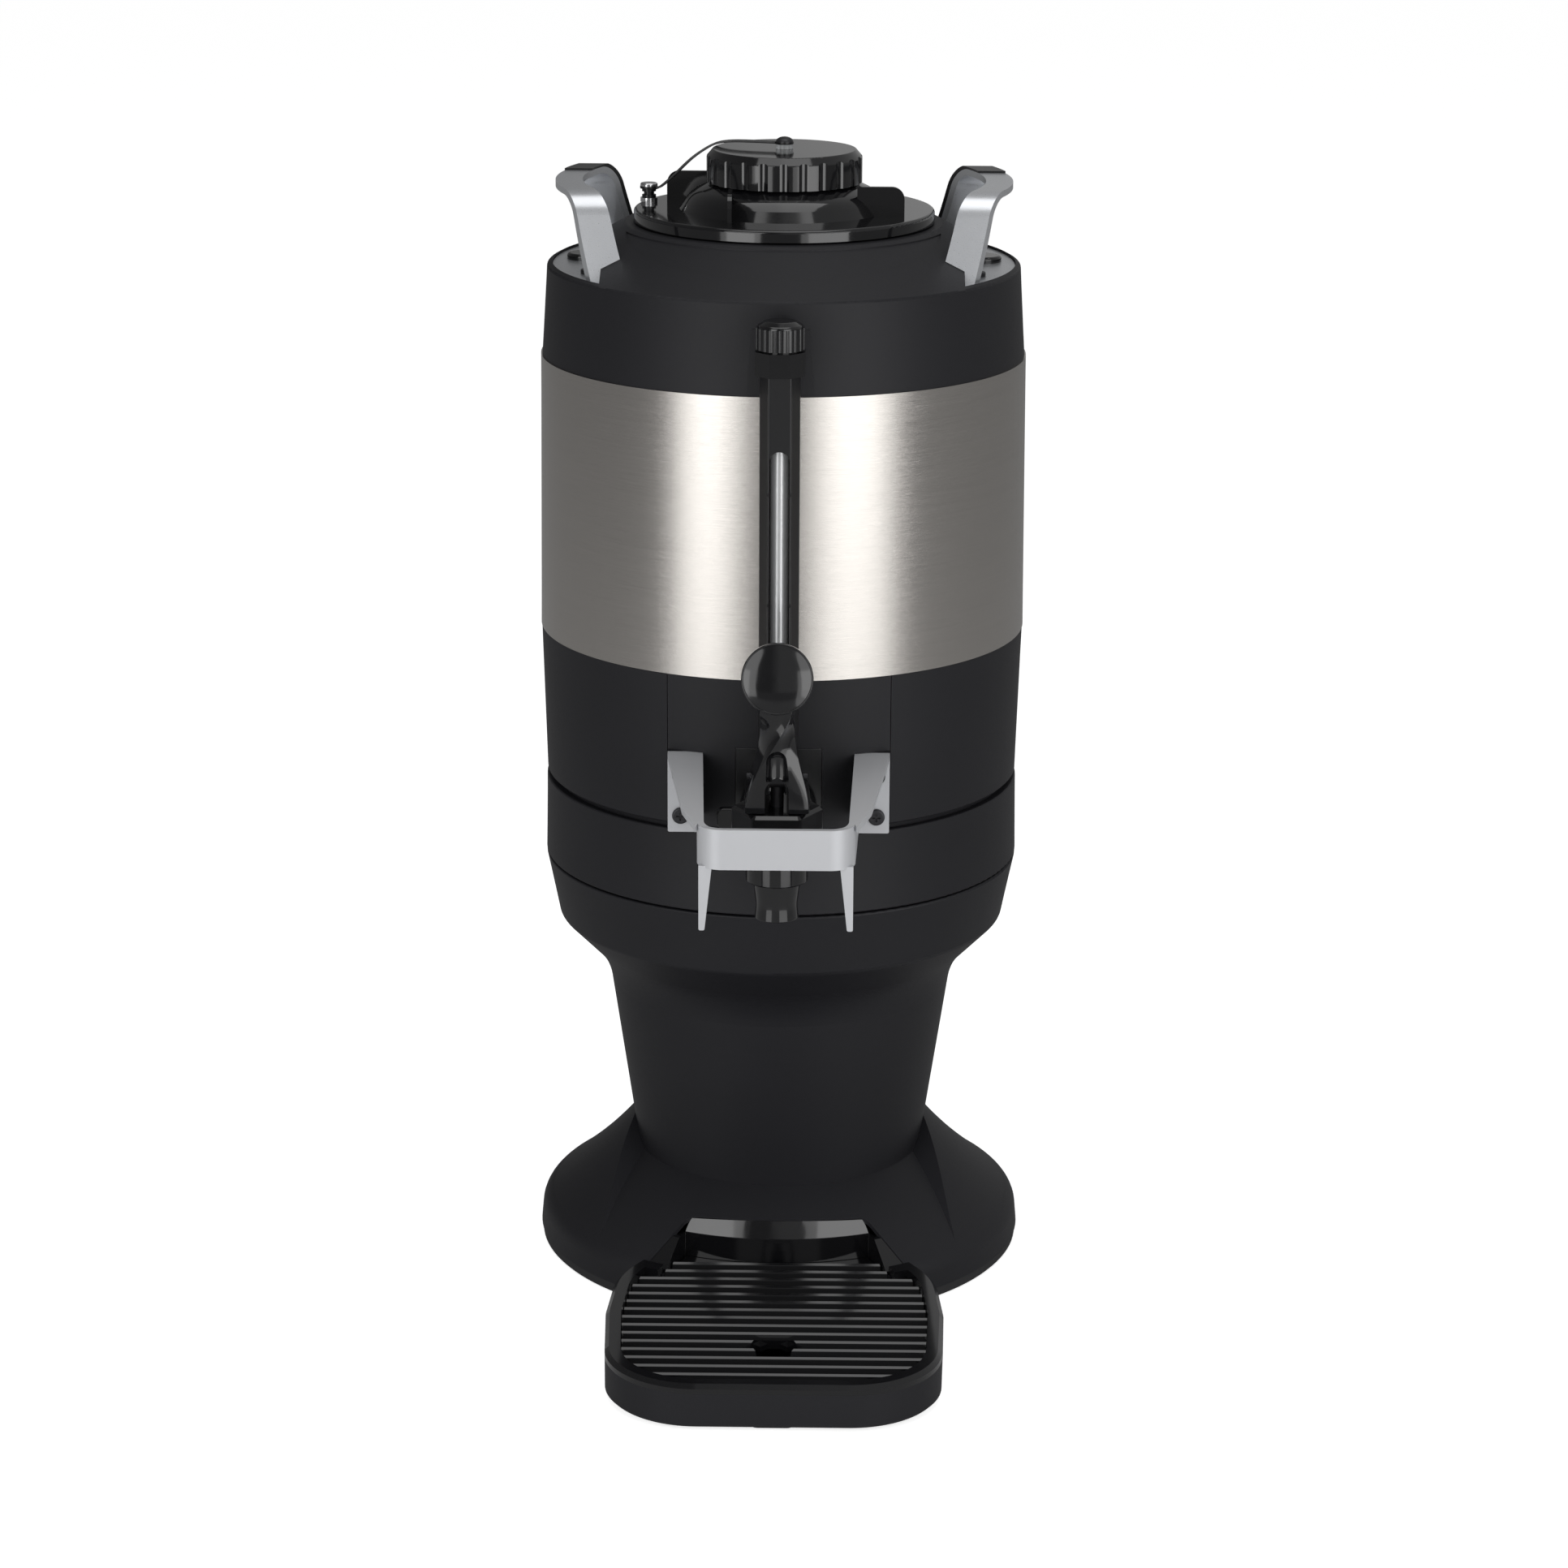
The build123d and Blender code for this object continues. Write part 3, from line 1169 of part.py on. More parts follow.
def strap():
    route = strap_points()
    upper = [(s, z + STRAP) for s, z in route]
    face = make_face(Polyline(*(route + upper[::-1]), close=True))
    ribbon = extrude(Plane.XZ * face, amount=STRAP_WIDTH / 2, both=True)
    length = hypot(POST_X, POST_Y)
    eyes = pipe(STRAP_EYE_R, STRAP_HOLE_R, STRAP_POST_Z, STRAP_POST_Z + STRAP)
    eyes += pipe(STRAP_EYE_R, STRAP_HOLE_R, STRAP_CAP_Z, STRAP_CAP_Z + STRAP, length)
    ends = post(STRAP_HOLE_R, 0, STRAP_CAP_Z * 2) + post(STRAP_HOLE_R, 0, STRAP_CAP_Z * 2, length)
    band = (ribbon - ends) + eyes
    heading = Vector(1, 0, 0).get_signed_angle(Vector(-POST_X, -POST_Y, 0), Vector(0, 0, 1))
    return Pos(POST_X, POST_Y, 0) * Rot(0, 0, heading) * band


def strap_post():
    top = STRAP_POST_Z + STRAP
    base = post(POST_BASE_R, LID_TOP, LID_TOP + POST_BASE, POST_X, POST_Y)
    shaft = post(POST_R - RUN, LID_TOP - LID_DISC, top + POST_HEAD / 2, POST_X, POST_Y)
    head = post(POST_HEAD_R, top, top + POST_HEAD, POST_X, POST_Y)
    head = fillet(head.edges().group_by(Axis.Z)[-1], POST_HEAD / 2)
    return base + shaft + head


def strap_spacer():
    low = LID_TOP + POST_BASE
    waist = low + POST_SPACER / 2
    spool = pipe(POST_SPACER_R, POST_R, low, STRAP_POST_Z, POST_X, POST_Y)
    groove = pipe(POST_SPACER_R * 2, POST_SPACER_WAIST_R, waist - SEAM, waist + SEAM, POST_X, POST_Y)
    return spool - groove


# Level gauge


def gauge_section(z_bottom, z_top):
    """The shield's outer section as a prism."""
    side_y = GAUGE_Y - GAUGE_FRONT + GAUGE_RIB_STEP
    corners = (
        (-GAUGE_HALF, GAUGE_Y + GAUGE_SIDE_DEPTH), (GAUGE_HALF, GAUGE_Y + GAUGE_SIDE_DEPTH),
        (GAUGE_HALF, GAUGE_Y - GAUGE_RIB_STEP), (GAUGE_RIB_HALF, side_y),
        (GAUGE_RIB_HALF, GAUGE_Y - GAUGE_FRONT), (-GAUGE_RIB_HALF, GAUGE_Y - GAUGE_FRONT),
        (-GAUGE_RIB_HALF, side_y), (-GAUGE_HALF, GAUGE_Y - GAUGE_RIB_STEP),
    )
    rounds = (SEAM, SEAM, SEAM * 2, SEAM / 2, SEAM, SEAM, SEAM / 2, SEAM * 2)
    return slab(corners, z_bottom, z_top, rounds)


def gauge_shield():
    shield = gauge_section(GAUGE_SOCKET_TOP, GAUGE_TOP_Z)
    shield -= post(GAUGE_BORE_R, GAUGE_SOCKET_TOP - CUT, GAUGE_TOP_Z + CUT, 0, GAUGE_Y)
    bottom = GAUGE_SOCKET_TOP + GAUGE_SLOT_FOOT
    centre = GAUGE_TOP_Z - GAUGE_SLOT_DROP - GAUGE_SLOT_HALF
    reach = GAUGE_HALF * 4
    slot = block(-GAUGE_SLOT_HALF, GAUGE_SLOT_HALF, GAUGE_Y + reach, GAUGE_Y - reach, bottom, centre)
    slot += rod(GAUGE_SLOT_HALF, -GAUGE_Y - reach, -GAUGE_Y + reach, 0, centre)
    shield -= slot
    wide = GAUGE_RIB_HALF + CUT
    front_y = GAUGE_Y - GAUGE_FRONT
    for i in range(GAUGE_TICKS):
        z = GAUGE_TOP_Z - GAUGE_TICK_DROP - GAUGE_TICK_PITCH * i
        shield -= block(-wide, wide, front_y + GAUGE_TICK, front_y - CUT, z - GAUGE_TICK, z + GAUGE_TICK)
    return shield


def gauge_glass():
    low = GAUGE_SOCKET_TOP - GAUGE_NIPPLE
    top = GAUGE_COLLAR_TOP + GAUGE_NIPPLE / 2
    return pipe(GAUGE_GLASS_R, GAUGE_GLASS_R - GAUGE_GLASS_WALL, low, top, 0, GAUGE_Y)


def gauge_collar():
    turn = FULL_TURN / 2 / GAUGE_COLLAR_SIDES
    side_face = RegularPolygon(GAUGE_COLLAR_R, GAUGE_COLLAR_SIDES, rotation=turn)
    ring = raise_face(Pos(0, GAUGE_Y) * side_face, GAUGE_TOP_Z, GAUGE_COLLAR_TOP)
    arm_low = GAUGE_TOP_Z + SEAM
    arm_top = GAUGE_COLLAR_TOP - SEAM
    arm = block(-GAUGE_ARM_HALF, GAUGE_ARM_HALF, -SHOULDER_EDGE_R, GAUGE_Y, arm_low, arm_top)
    nipple_top = GAUGE_COLLAR_TOP + GAUGE_NIPPLE / 2
    nipple = post(GAUGE_NIPPLE_R, GAUGE_COLLAR_TOP - CUT, nipple_top, 0, GAUGE_Y)
    body = ring + arm + nipple - shoulder_cone_wide()
    return body - post(GAUGE_GLASS_R, GAUGE_TOP_Z - CUT, nipple_top + CUT, 0, GAUGE_Y)


def shoulder_cone_wide():
    """The shoulder's wall grown by the gauge pad, which the bracket's arm meets."""
    return spin((
        (0, BAND_TOP), (SHOULDER_BOTTOM_R + GAUGE_PAD_RAISE, BAND_TOP),
        (SHOULDER_EDGE_R + GAUGE_PAD_RAISE, EDGE_Z), (0, EDGE_Z),
    ))


def gauge_top_seal():
    low = GAUGE_COLLAR_TOP + GAUGE_NIPPLE / 2 + FIT
    return pipe(GAUGE_NIPPLE_R, GAUGE_GLASS_R / 3, low, low + GAUGE_SEAL, 0, GAUGE_Y)


def gauge_cap():
    low = GAUGE_COLLAR_TOP + SEAM
    top = low + GAUGE_CAP
    dome_top = top + GAUGE_CAP_DOME
    crown_r = GAUGE_CAP_R - GAUGE_CAP_FLUTE_DEPTH
    body = post(GAUGE_CAP_R, low, top)
    body = fluted(body, GAUGE_CAP_R, GAUGE_CAP_FLUTES, GAUGE_CAP_FLUTE_R, GAUGE_CAP_FLUTE_DEPTH,
                  low - CUT, top + CUT)
    crown = spin((
        (0, top - CUT), (crown_r, top - CUT), (crown_r, top + GAUGE_CAP_DOME / 3),
        (crown_r * 2 / 3, dome_top), (0, dome_top),
    ), (0, 0, GAUGE_CAP_DOME / 2, GAUGE_CAP_DOME, 0))
    seal_top = GAUGE_COLLAR_TOP + GAUGE_NIPPLE / 2 + FIT * 2 + GAUGE_SEAL
    hollow = post(GAUGE_NIPPLE_R + FIT, low - CUT, seal_top)
    return Pos(0, GAUGE_Y, 0) * (body + crown - hollow)


# Shank, gauge base and nut


def shank_tube():
    tap_side = -TAP_Y - TAP_BODY_R - FIT
    tube = rod(SHANK_R - RUN, LINER_R - LINER_WALL * 4, tap_side, 0, SHANK_Z)
    head = rod(SHANK_R + LINER_WALL * 2, LINER_R - LINER_WALL * 6, LINER_R - LINER_WALL * 4, 0, SHANK_Z)
    bore = rod(SHANK_BORE, 0, tap_side + CUT, 0, SHANK_Z)
    feed = post(GAUGE_GLASS_R - GAUGE_GLASS_WALL, SHANK_Z, SHANK_Z + SHANK_R * 2, 0, GAUGE_Y)
    return tube + head - bore - feed


def shank_washer():
    disc = rod(SHANK_Z - HOUSING_Z, HOUSING_BOTTOM_R, FLANGE_BACK, 0, SHANK_Z)
    disc -= Pos(0, -ESCUTCHEON_RAISE, 0) * housing_form()
    return disc - rod(SHANK_R, 0, FLANGE_BACK * 2, 0, SHANK_Z)


def gauge_base():
    disc = rod(FLANGE_R, FLANGE_BACK, FLANGE_BACK + FLANGE, 0, SHANK_Z)
    disc = fillet(disc.edges().group_by(Axis.Y)[0], FLANGE / 3)
    hub = rod(GAUGE_BASE_R, FLANGE_BACK, GAUGE_BASE_FRONT, 0, SHANK_Z)
    socket = post(GAUGE_SOCKET_R, SHANK_Z, GAUGE_SOCKET_TOP, 0, GAUGE_Y)
    body = disc + hub + socket - housing_wide()
    body -= rod(SHANK_R, 0, GAUGE_BASE_FRONT + CUT, 0, SHANK_Z)
    glass_low = GAUGE_SOCKET_TOP - GAUGE_NIPPLE - GAUGE_SEAL
    body -= post(GAUGE_GLASS_R + RUN, glass_low, GAUGE_SOCKET_TOP + CUT, 0, GAUGE_Y)
    return body - post(GAUGE_GLASS_R - GAUGE_GLASS_WALL, SHANK_Z, GAUGE_SOCKET_TOP, 0, GAUGE_Y)


def housing_wide():
    """The outside of the lower housing grown by the escutcheon's raise."""
    grow = ESCUTCHEON_RAISE + FIT
    return spin((
        (0, HOUSING_Z), (HOUSING_BOTTOM_R + grow, HOUSING_Z),
        (HOUSING_TOP_R + grow, HOUSING_TOP), (0, HOUSING_TOP),
    ))


def gauge_bottom_seal():
    low = GAUGE_SOCKET_TOP - GAUGE_NIPPLE - GAUGE_SEAL
    return pipe(GAUGE_GLASS_R, GAUGE_GLASS_R - GAUGE_GLASS_WALL, low, low + GAUGE_SEAL, 0, GAUGE_Y)


def shank_nut():
    body = rod(NUT_R, GAUGE_BASE_FRONT, GAUGE_BASE_FRONT + NUT, 0, SHANK_Z)
    low = SHANK_Z + EAR_RISE - EAR_WIDTH / 2
    high = low + EAR_WIDTH
    ear = slab(((-EAR_REACH, low), (0, low), (0, high), (-EAR_REACH, high)), 0, NUT,
               (EAR_ROUND, 0, 0, EAR_ROUND))
    body += Pos(0, -GAUGE_BASE_FRONT, 0) * Rot(90, 0, 0) * ear
    return body - rod(SHANK_R, 0, GAUGE_BASE_FRONT * 2, 0, SHANK_Z)


# Tap


def tap_body():
    nut_front = GAUGE_BASE_FRONT + NUT
    barrel_top = BONNET_BOTTOM + BONNET_CAVITY - FIT
    barrel = post(TAP_BODY_R, TAP_BODY_BOTTOM, barrel_top, 0, TAP_Y)
    barrel = chamfer(barrel.edges().group_by(Axis.Z)[0], BONNET_EDGE / 2)
    cone_top = TAP_BODY_BOTTOM + CUT
    spout = spin((
        (0, OUTLET_BOTTOM), (OUTLET_LIP_R, OUTLET_BOTTOM), (OUTLET_R, OUTLET_BOTTOM + OUTLET_LIP),
        (OUTLET_CONE_R, TAP_BODY_BOTTOM), (OUTLET_CONE_R, cone_top), (0, cone_top),
    ), (0, SEAM / 2, OUTLET_ROUND, 0, 0, 0))
    inlet = rod(TAP_INLET_R, nut_front, -TAP_Y, 0, SHANK_Z)
    inlet -= post(TAP_BODY_R + RUN, barrel_top, BONNET_TOP, 0, TAP_Y)
    body = barrel + Pos(0, TAP_Y, 0) * spout + inlet
    body -= post(TAP_CHAMBER_R, TAP_SEAT_Z, BONNET_TOP, 0, TAP_Y)
    body -= rod(SHANK_R, 0, -TAP_Y - TAP_BODY_R, 0, SHANK_Z)
    body -= rod(SHANK_BORE, 0, -TAP_Y, 0, SHANK_Z)
    return body - post(OUTLET_BORE, OUTLET_BOTTOM - CUT, TAP_SEAT_Z + CUT, 0, TAP_Y)


def bonnet():
    hexagon = fillet(RegularPolygon(BONNET_R, BONNET_SIDES).vertices(), BONNET_ROUND)
    body = raise_face(hexagon, BONNET_BOTTOM, BONNET_TOP)
    body = chamfer(body.faces().sort_by(Axis.Z)[-1].edges(), BONNET_EDGE)
    body -= post(TAP_BODY_R + RUN, BONNET_BOTTOM - CUT, BONNET_BOTTOM + BONNET_CAVITY)
    body -= post(BONNET_CAVITY_R, BONNET_BOTTOM, BONNET_BOTTOM + BONNET_CAVITY + LID_WALL)
    body -= post(STEM_R + RUN, BONNET_BOTTOM, BONNET_TOP + CUT)
    return Pos(0, TAP_Y, 0) * body - rod(TAP_INLET_R + FIT, 0, -TAP_Y, 0, SHANK_Z)


def tap_stem():
    shaft = post(STEM_R, TAP_SEAT_Z + SEAT_CUP / 2, PIN_Z, 0, TAP_Y)
    deep = STEM_HEAD_DEPTH
    head = block(-STEM_HEAD_HALF, STEM_HEAD_HALF, TAP_Y + deep, TAP_Y - deep, PIN_Z - deep, PIN_Z + deep)
    head = fillet(head.edges().filter_by(Axis.X), deep / 2)
    return shaft + head - cross_pin(PIN_R + RUN, STEM_HEAD_HALF * 4)


def cross_pin(radius, length):
    """A cylinder across the lever's pivot."""
    return Pos(0, TAP_Y, PIN_Z) * Rot(0, 90, 0) * Cylinder(radius, length)


def seat_cup():
    top = TAP_SEAT_Z + SEAT_CUP
    cone_top = TAP_SEAT_Z + SEAT_CUP / 3
    cup = spin((
        (0, TAP_SEAT_Z), (OUTLET_BORE + SEAM, TAP_SEAT_Z),
        (SEAT_CUP_R, cone_top), (SEAT_CUP_R, top), (0, top),
    ))
    cup -= post(STEM_R, TAP_SEAT_Z + SEAT_CUP / 2, top + CUT)
    return Pos(0, TAP_Y, 0) * cup


def tap_spring():
    low = TAP_SEAT_Z + SEAT_CUP + SPRING_WIRE + FIT
    high = BONNET_BOTTOM + BONNET_CAVITY + LID_WALL - SPRING_WIRE - FIT
    path = Helix((high - low) / SPRING_TURNS, high - low, SPRING_R)
    section = Plane(origin=path @ 0, z_dir=path % 0) * Circle(SPRING_WIRE)
    return Pos(0, TAP_Y, low) * sweep(section, path=path)


def handle_pin():
    return cross_pin(PIN_R, (LEVER_FOOT_HALF - CUT) * 2)


def lever_section(half, front, back, z):
    """One level of the lever's body: a rounded rectangle."""
    depth = front - back
    plane = Plane(origin=(0, TAP_Y - (front + back) / 2, z))
    return plane * RectangleRounded(half * 2, depth, min(half, depth / 2) * LEVER_EDGE_SHARE)


def tap_handle():
    foot_z = BONNET_TOP + FIT
    neck_z = PIN_Z + LEVER_NECK_RISE
    knob_z = neck_z + KNOB_RISE
    neck_front = LEVER_NECK_FRONT + LEVER_NECK_DEPTH / 2
    neck_back = LEVER_NECK_FRONT - LEVER_NECK_DEPTH / 2
    knob_low = knob_z - KNOB_R + KNOB_DISH
    collar_half = LEVER_NECK_HALF + KNOB_RIM
    waist = (
        (LEVER_FOOT_HALF + LEVER_NECK_HALF) / 2,
        (LEVER_FOOT_FRONT + neck_front) / 2,
        (neck_back - LEVER_FOOT_BACK) / 2,
    )
    body = loft([
        lever_section(LEVER_FOOT_HALF, LEVER_FOOT_FRONT, -LEVER_FOOT_BACK, foot_z),
        lever_section(*waist, (foot_z + neck_z) / 2),
        lever_section(LEVER_NECK_HALF, neck_front, neck_back, neck_z),
        lever_section(collar_half, neck_front, neck_back, knob_low),
    ])
    body += loft([
        lever_section(collar_half, neck_front, neck_back, knob_low),
        lever_section(LEVER_NECK_HALF, neck_front - KNOB_RIM, neck_back, knob_z),
    ])
    knob = Cylinder(KNOB_R, KNOB, align=LOW)
    knob = fillet(knob.edges().group_by(Axis.Z)[-1], KNOB_EDGE)
    knob = chamfer(knob.edges().group_by(Axis.Z)[0], KNOB_EDGE)
    knob -= Pos(0, 0, KNOB - KNOB_DISH) * Cylinder(KNOB_R - KNOB_RIM - KNOB_EDGE, KNOB, align=LOW)
    body += Pos(0, TAP_Y - KNOB_FRONT + KNOB / 2, knob_z) * Rot(90 - KNOB_TILT, 0, 0) * knob
    half = LEVER_CAVITY_HALF
    arch_z = PIN_Z + LEVER_CAVITY_RISE - half
    front_y = TAP_Y - LEVER_FOOT_FRONT - CUT
    back_y = TAP_Y + LEVER_FOOT_BACK + CUT
    cavity = block(-half, half, back_y, front_y, foot_z - CUT, arch_z)
    cavity += rod(half, -back_y, -front_y, 0, arch_z)
    return body - cavity - cross_pin(PIN_R, LEVER_FOOT_HALF * 3)


# Guard


def hoop_outline(inset, back_y):
    """The guard's hoop in plan, its legs drawn in by an inset."""
    back = GUARD_WEB_BACK_HALF - inset
    front = GUARD_WEB_FRONT_HALF - inset
    front_y = inset - GUARD_FRONT
    return (-back, back_y), (back, back_y), (front, front_y), (-front, front_y)


def guard():
    back_y = GUARD_PLATE - GUARD_PLATE_FRONT
    high = GUARD_PLATE_TOP + CUT
    inner_corner = GUARD_CORNER - GUARD_WEB
    space = slab(hoop_outline(GUARD_WEB, back_y + CUT), GUARD_BAND_BOTTOM - CUT, high + CUT,
                 (0, 0, inner_corner, inner_corner))
    outer_rounds = (0, 0, GUARD_CORNER, GUARD_CORNER)
    hoop = slab(hoop_outline(0, back_y), GUARD_BAND_BOTTOM, high, outer_rounds) - space
    plate = block(GUARD_PLATE_INNER, GUARD_PLATE_OUTER, back_y, -GUARD_PLATE_FRONT, GUARD_PLATE_BOTTOM,
                  GUARD_PLATE_TOP)
    plate = fillet(plate.edges().filter_by(Axis.Y).group_by(Axis.X)[-1], SEAM)
    flange = slab((
        (GUARD_PLATE_INNER, back_y),
        (GUARD_PLATE_OUTER, back_y),
        (GUARD_PLATE_OUTER, -GUARD_PLATE_FRONT),
        (GUARD_WEB_FRONT_HALF + GUARD_FLANGE_WIDTH, GUARD_FLANGE_WAIST - GUARD_FRONT),
        (GUARD_WEB_FRONT_HALF + CUT, -GUARD_FLANGE_END),
        (GUARD_WEB_FRONT_HALF - GUARD_WEB, GUARD_CORNER - GUARD_FLANGE_END),
    ), GUARD_BAND_BOTTOM, high) - space
    flange = (flange & under_slope(0)) - under_slope(GUARD_WEB)
    body = (hoop & under_slope(0)) + mirror_pair(flange) + mirror_pair(plate)
    outer_x = GUARD_WEB_FRONT_HALF - CUT / 2
    root_z = GUARD_BAND_BOTTOM + CUT
    tip_z = GUARD_BAND_BOTTOM - GUARD_PRONG
    prong_face = face_of((
        (outer_x, root_z), (outer_x, tip_z), (GUARD_WEB_FRONT_HALF - GUARD_PRONG_WIDTH, tip_z),
        (GUARD_WEB_FRONT_HALF - GUARD_PRONG_TOP_WIDTH, root_z),
    ), (0, SEAM, SEAM, 0))
    prong = extrude(Plane.XZ * prong_face, amount=GUARD_WEB, dir=(0, -1, 0))
    body += mirror_pair(Pos(0, GUARD_WEB + GUARD_PRONG_SET - GUARD_FRONT, 0) * prong)
    for x, z in guard_screw_places():
        body -= rod(GUARD_SCREW_R, -back_y - CUT, GUARD_PLATE_FRONT + CUT, x, z)
    return body


def under_slope(drop):
    """All that lies under the guard's sloping top, lowered by a drop."""
    face = face_of((
        (CUT, 0), (-GUARD_FRONT - CUT, 0),
        (-GUARD_FRONT - CUT, GUARD_BAND_TOP - drop), (-GUARD_FLANGE_END, GUARD_BAND_TOP - drop),
        (-GUARD_PLATE_FRONT, GUARD_PLATE_TOP - drop), (CUT, GUARD_PLATE_TOP - drop),
    ))
    wide = GUARD_PLATE_OUTER * 2
    return Pos(-wide, 0, 0) * extrude(Plane.YZ * face, amount=wide * 2, dir=(1, 0, 0))


def guard_screws():
    screws = []
    front = GUARD_PLATE_FRONT
    for x, z in guard_screw_places():
        head = rod(GUARD_SCREW_HEAD_R, front, front + GUARD_SCREW_HEAD, x, z)
        head = fillet(head.edges().group_by(Axis.Y)[0], GUARD_SCREW_HEAD / 2)
        half = GUARD_SCREW_HEAD_R / 2
        floor_y = -front - GUARD_SCREW_HEAD / 2
        open_y = -front - GUARD_SCREW_HEAD - CUT
        for wide, tall in ((half, SCREW_CROSS / 2), (SCREW_CROSS / 2, half)):
            head -= block(x - wide, x + wide, floor_y, open_y, z - tall, z + tall)
        screws.append(head + rod(GUARD_SCREW_R, front - GUARD_SCREW_LENGTH, front, x, z))
    return screws


# Drip tray


def tray_outline():
    """The tray's outline in plan, before its back is hollowed to the base."""
    right = (
        (TRAY_REAR_HALF, TRAY_REAR_SINK - SKIRT_R), (TRAY_SHOULDER_HALF, TRAY_SHOULDER_SINK - SKIRT_R),
        (TRAY_HALF, -SKIRT_R - TRAY_SIDE_REACH), (TRAY_FRONT_HALF, -TRAY_FRONT),
    )
    rounds = (0, TRAY_SHOULDER_ROUND, TRAY_SIDE_ROUND, TRAY_FRONT_ROUND)
    left = tuple((-x, y) for x, y in right[::-1])
    return face_of(right + left, rounds + rounds[::-1])


def tray_face():
    """The tray's plan, clear of the skirt."""
    return tray_outline() - Circle(SKIRT_R + TRAY_GAP)


def rim_rear():
    """The base's plan behind the rim, short of two horns that reach into the notch."""
    notch = section(notch_form(TRAY_GAP), Plane.XY, FLARE_TOP_Z)
    return Circle(SKIRT_R + TRAY_GAP) - (notch - Circle(SKIRT_TOP_R - TRAY_HORN_SINK))


def drip_tray():
    face = tray_face()
    upper = offset(face, amount=-TRAY_WALL)
    lower = offset(face, amount=-RIM_WIDTH - LEDGE)
    tongue_low = LEDGE_Z - TONGUE_DEPTH
    body = raise_face(face, TRAY_FOOT, TRAY_WALL_TOP)
    body = chamfer(body.faces().sort_by(Axis.Z)[0].outer_wire().edges(), TRAY_FOOT_ROUND)
    body += pocket_form(FIT * 2, POCKET_MID + FIT * 2, tongue_low, LEDGE_Z)
    body -= raise_face(upper, LEDGE_Z, TRAY_WALL_TOP + CUT)
    body -= raise_face(lower, TRAY_FOOT + TRAY_FLOOR, LEDGE_Z + CUT)
    body -= pocket_form(FIT, POCKET_MID, LEDGE_Z, TRAY_WALL_TOP + CUT)
    inset = FIT * 2 + TRAY_WALL
    return body - pocket_form(inset, POCKET_MID + TRAY_WALL, tongue_low + TRAY_WALL / 2, LEDGE_Z + CUT)


def tray_rim():
    face = tray_face()
    crown = raise_face(tray_outline(), TRAY_WALL_TOP, TRAY_RIM_TOP)
    crown = chamfer(crown.faces().sort_by(Axis.Z)[-1].edges(), RIM_BEVEL)
    crown -= raise_face(rim_rear(), TRAY_WALL_TOP - CUT, TRAY_RIM_TOP + CUT)
    crown -= pocket_form(-FIT, POCKET_MID, TRAY_WALL_TOP - CUT, TRAY_RIM_TOP + CUT)
    crown -= raise_face(offset(face, amount=-RIM_WIDTH), TRAY_WALL_TOP - CUT, TRAY_RIM_TOP + CUT)
    ring = offset(face, amount=RIM_SKIRT - RIM_WIDTH) - offset(face, amount=-RIM_WIDTH)
    skirt = raise_face(ring, LEDGE_Z, TRAY_WALL_TOP)
    skirt -= pocket_form(-FIT, POCKET_MID, LEDGE_Z - CUT, TRAY_RIM_TOP + CUT)
    return crown + skirt


def drip_grille():
    low = LEDGE_Z + FIT
    deck = raise_face(offset(tray_face(), amount=-RIM_WIDTH - FIT), low, GRILLE_TOP)
    deck += pocket_form(FIT * 2, POCKET_MID + FIT * 2, low, GRILLE_TOP)
    back_y = -POCKET_MID
    pitch = (TRAY_FRONT + back_y) / GRILLE_RIBS
    plate_z = low + GRILLE_PLATE
    crests = []
    for i in range(GRILLE_RIBS):
        y = back_y - pitch * i
        crests += [
            (y, plate_z), (y - pitch * RIB_CREST_SHARE, GRILLE_TOP),
            (y - pitch * RIB_FOOT_SHARE, GRILLE_TOP - SEAM),
        ]
    outline = [(0, low), (0, plate_z)] + crests + [(-TRAY_FRONT, plate_z), (-TRAY_FRONT, low)]
    deck &= extrude(Plane.YZ * face_of(outline), amount=TRAY_HALF, both=True)
    half = DRAIN_HALF
    inner = half - DRAIN_CORNER
    drain_back = -DRAIN_Y + DRAIN_DEPTH / 2
    drain_front = -DRAIN_Y - DRAIN_DEPTH / 2
    deck -= slab((
        (-half, -DRAIN_Y), (-inner, drain_back), (inner, drain_back), (half, -DRAIN_Y),
        (inner, drain_front), (-inner, drain_front),
    ), low - CUT, GRILLE_TOP + CUT)
    for x in (-inner, inner):
        deck += Pos(x, drain_back, low) * Rot(0, 0, LUG_TURN) * Box(LUG, LUG, GRILLE_PLATE, align=LOW)
    return deck


def tray_feet():
    front_y = PAD_INSET - TRAY_FRONT
    front = block(-PAD_HALF, PAD_HALF, front_y + PAD_DEPTH, front_y, 0, TRAY_FOOT)
    front = fillet(front.edges().filter_by(Axis.Z), PAD_DEPTH / 3)
    rear_y = -SKIRT_R - REAR_PAD_REACH
    return [front] + [post(REAR_PAD_R, 0, TRAY_FOOT, side * REAR_PAD_X, rear_y) for side in (-1, 1)]


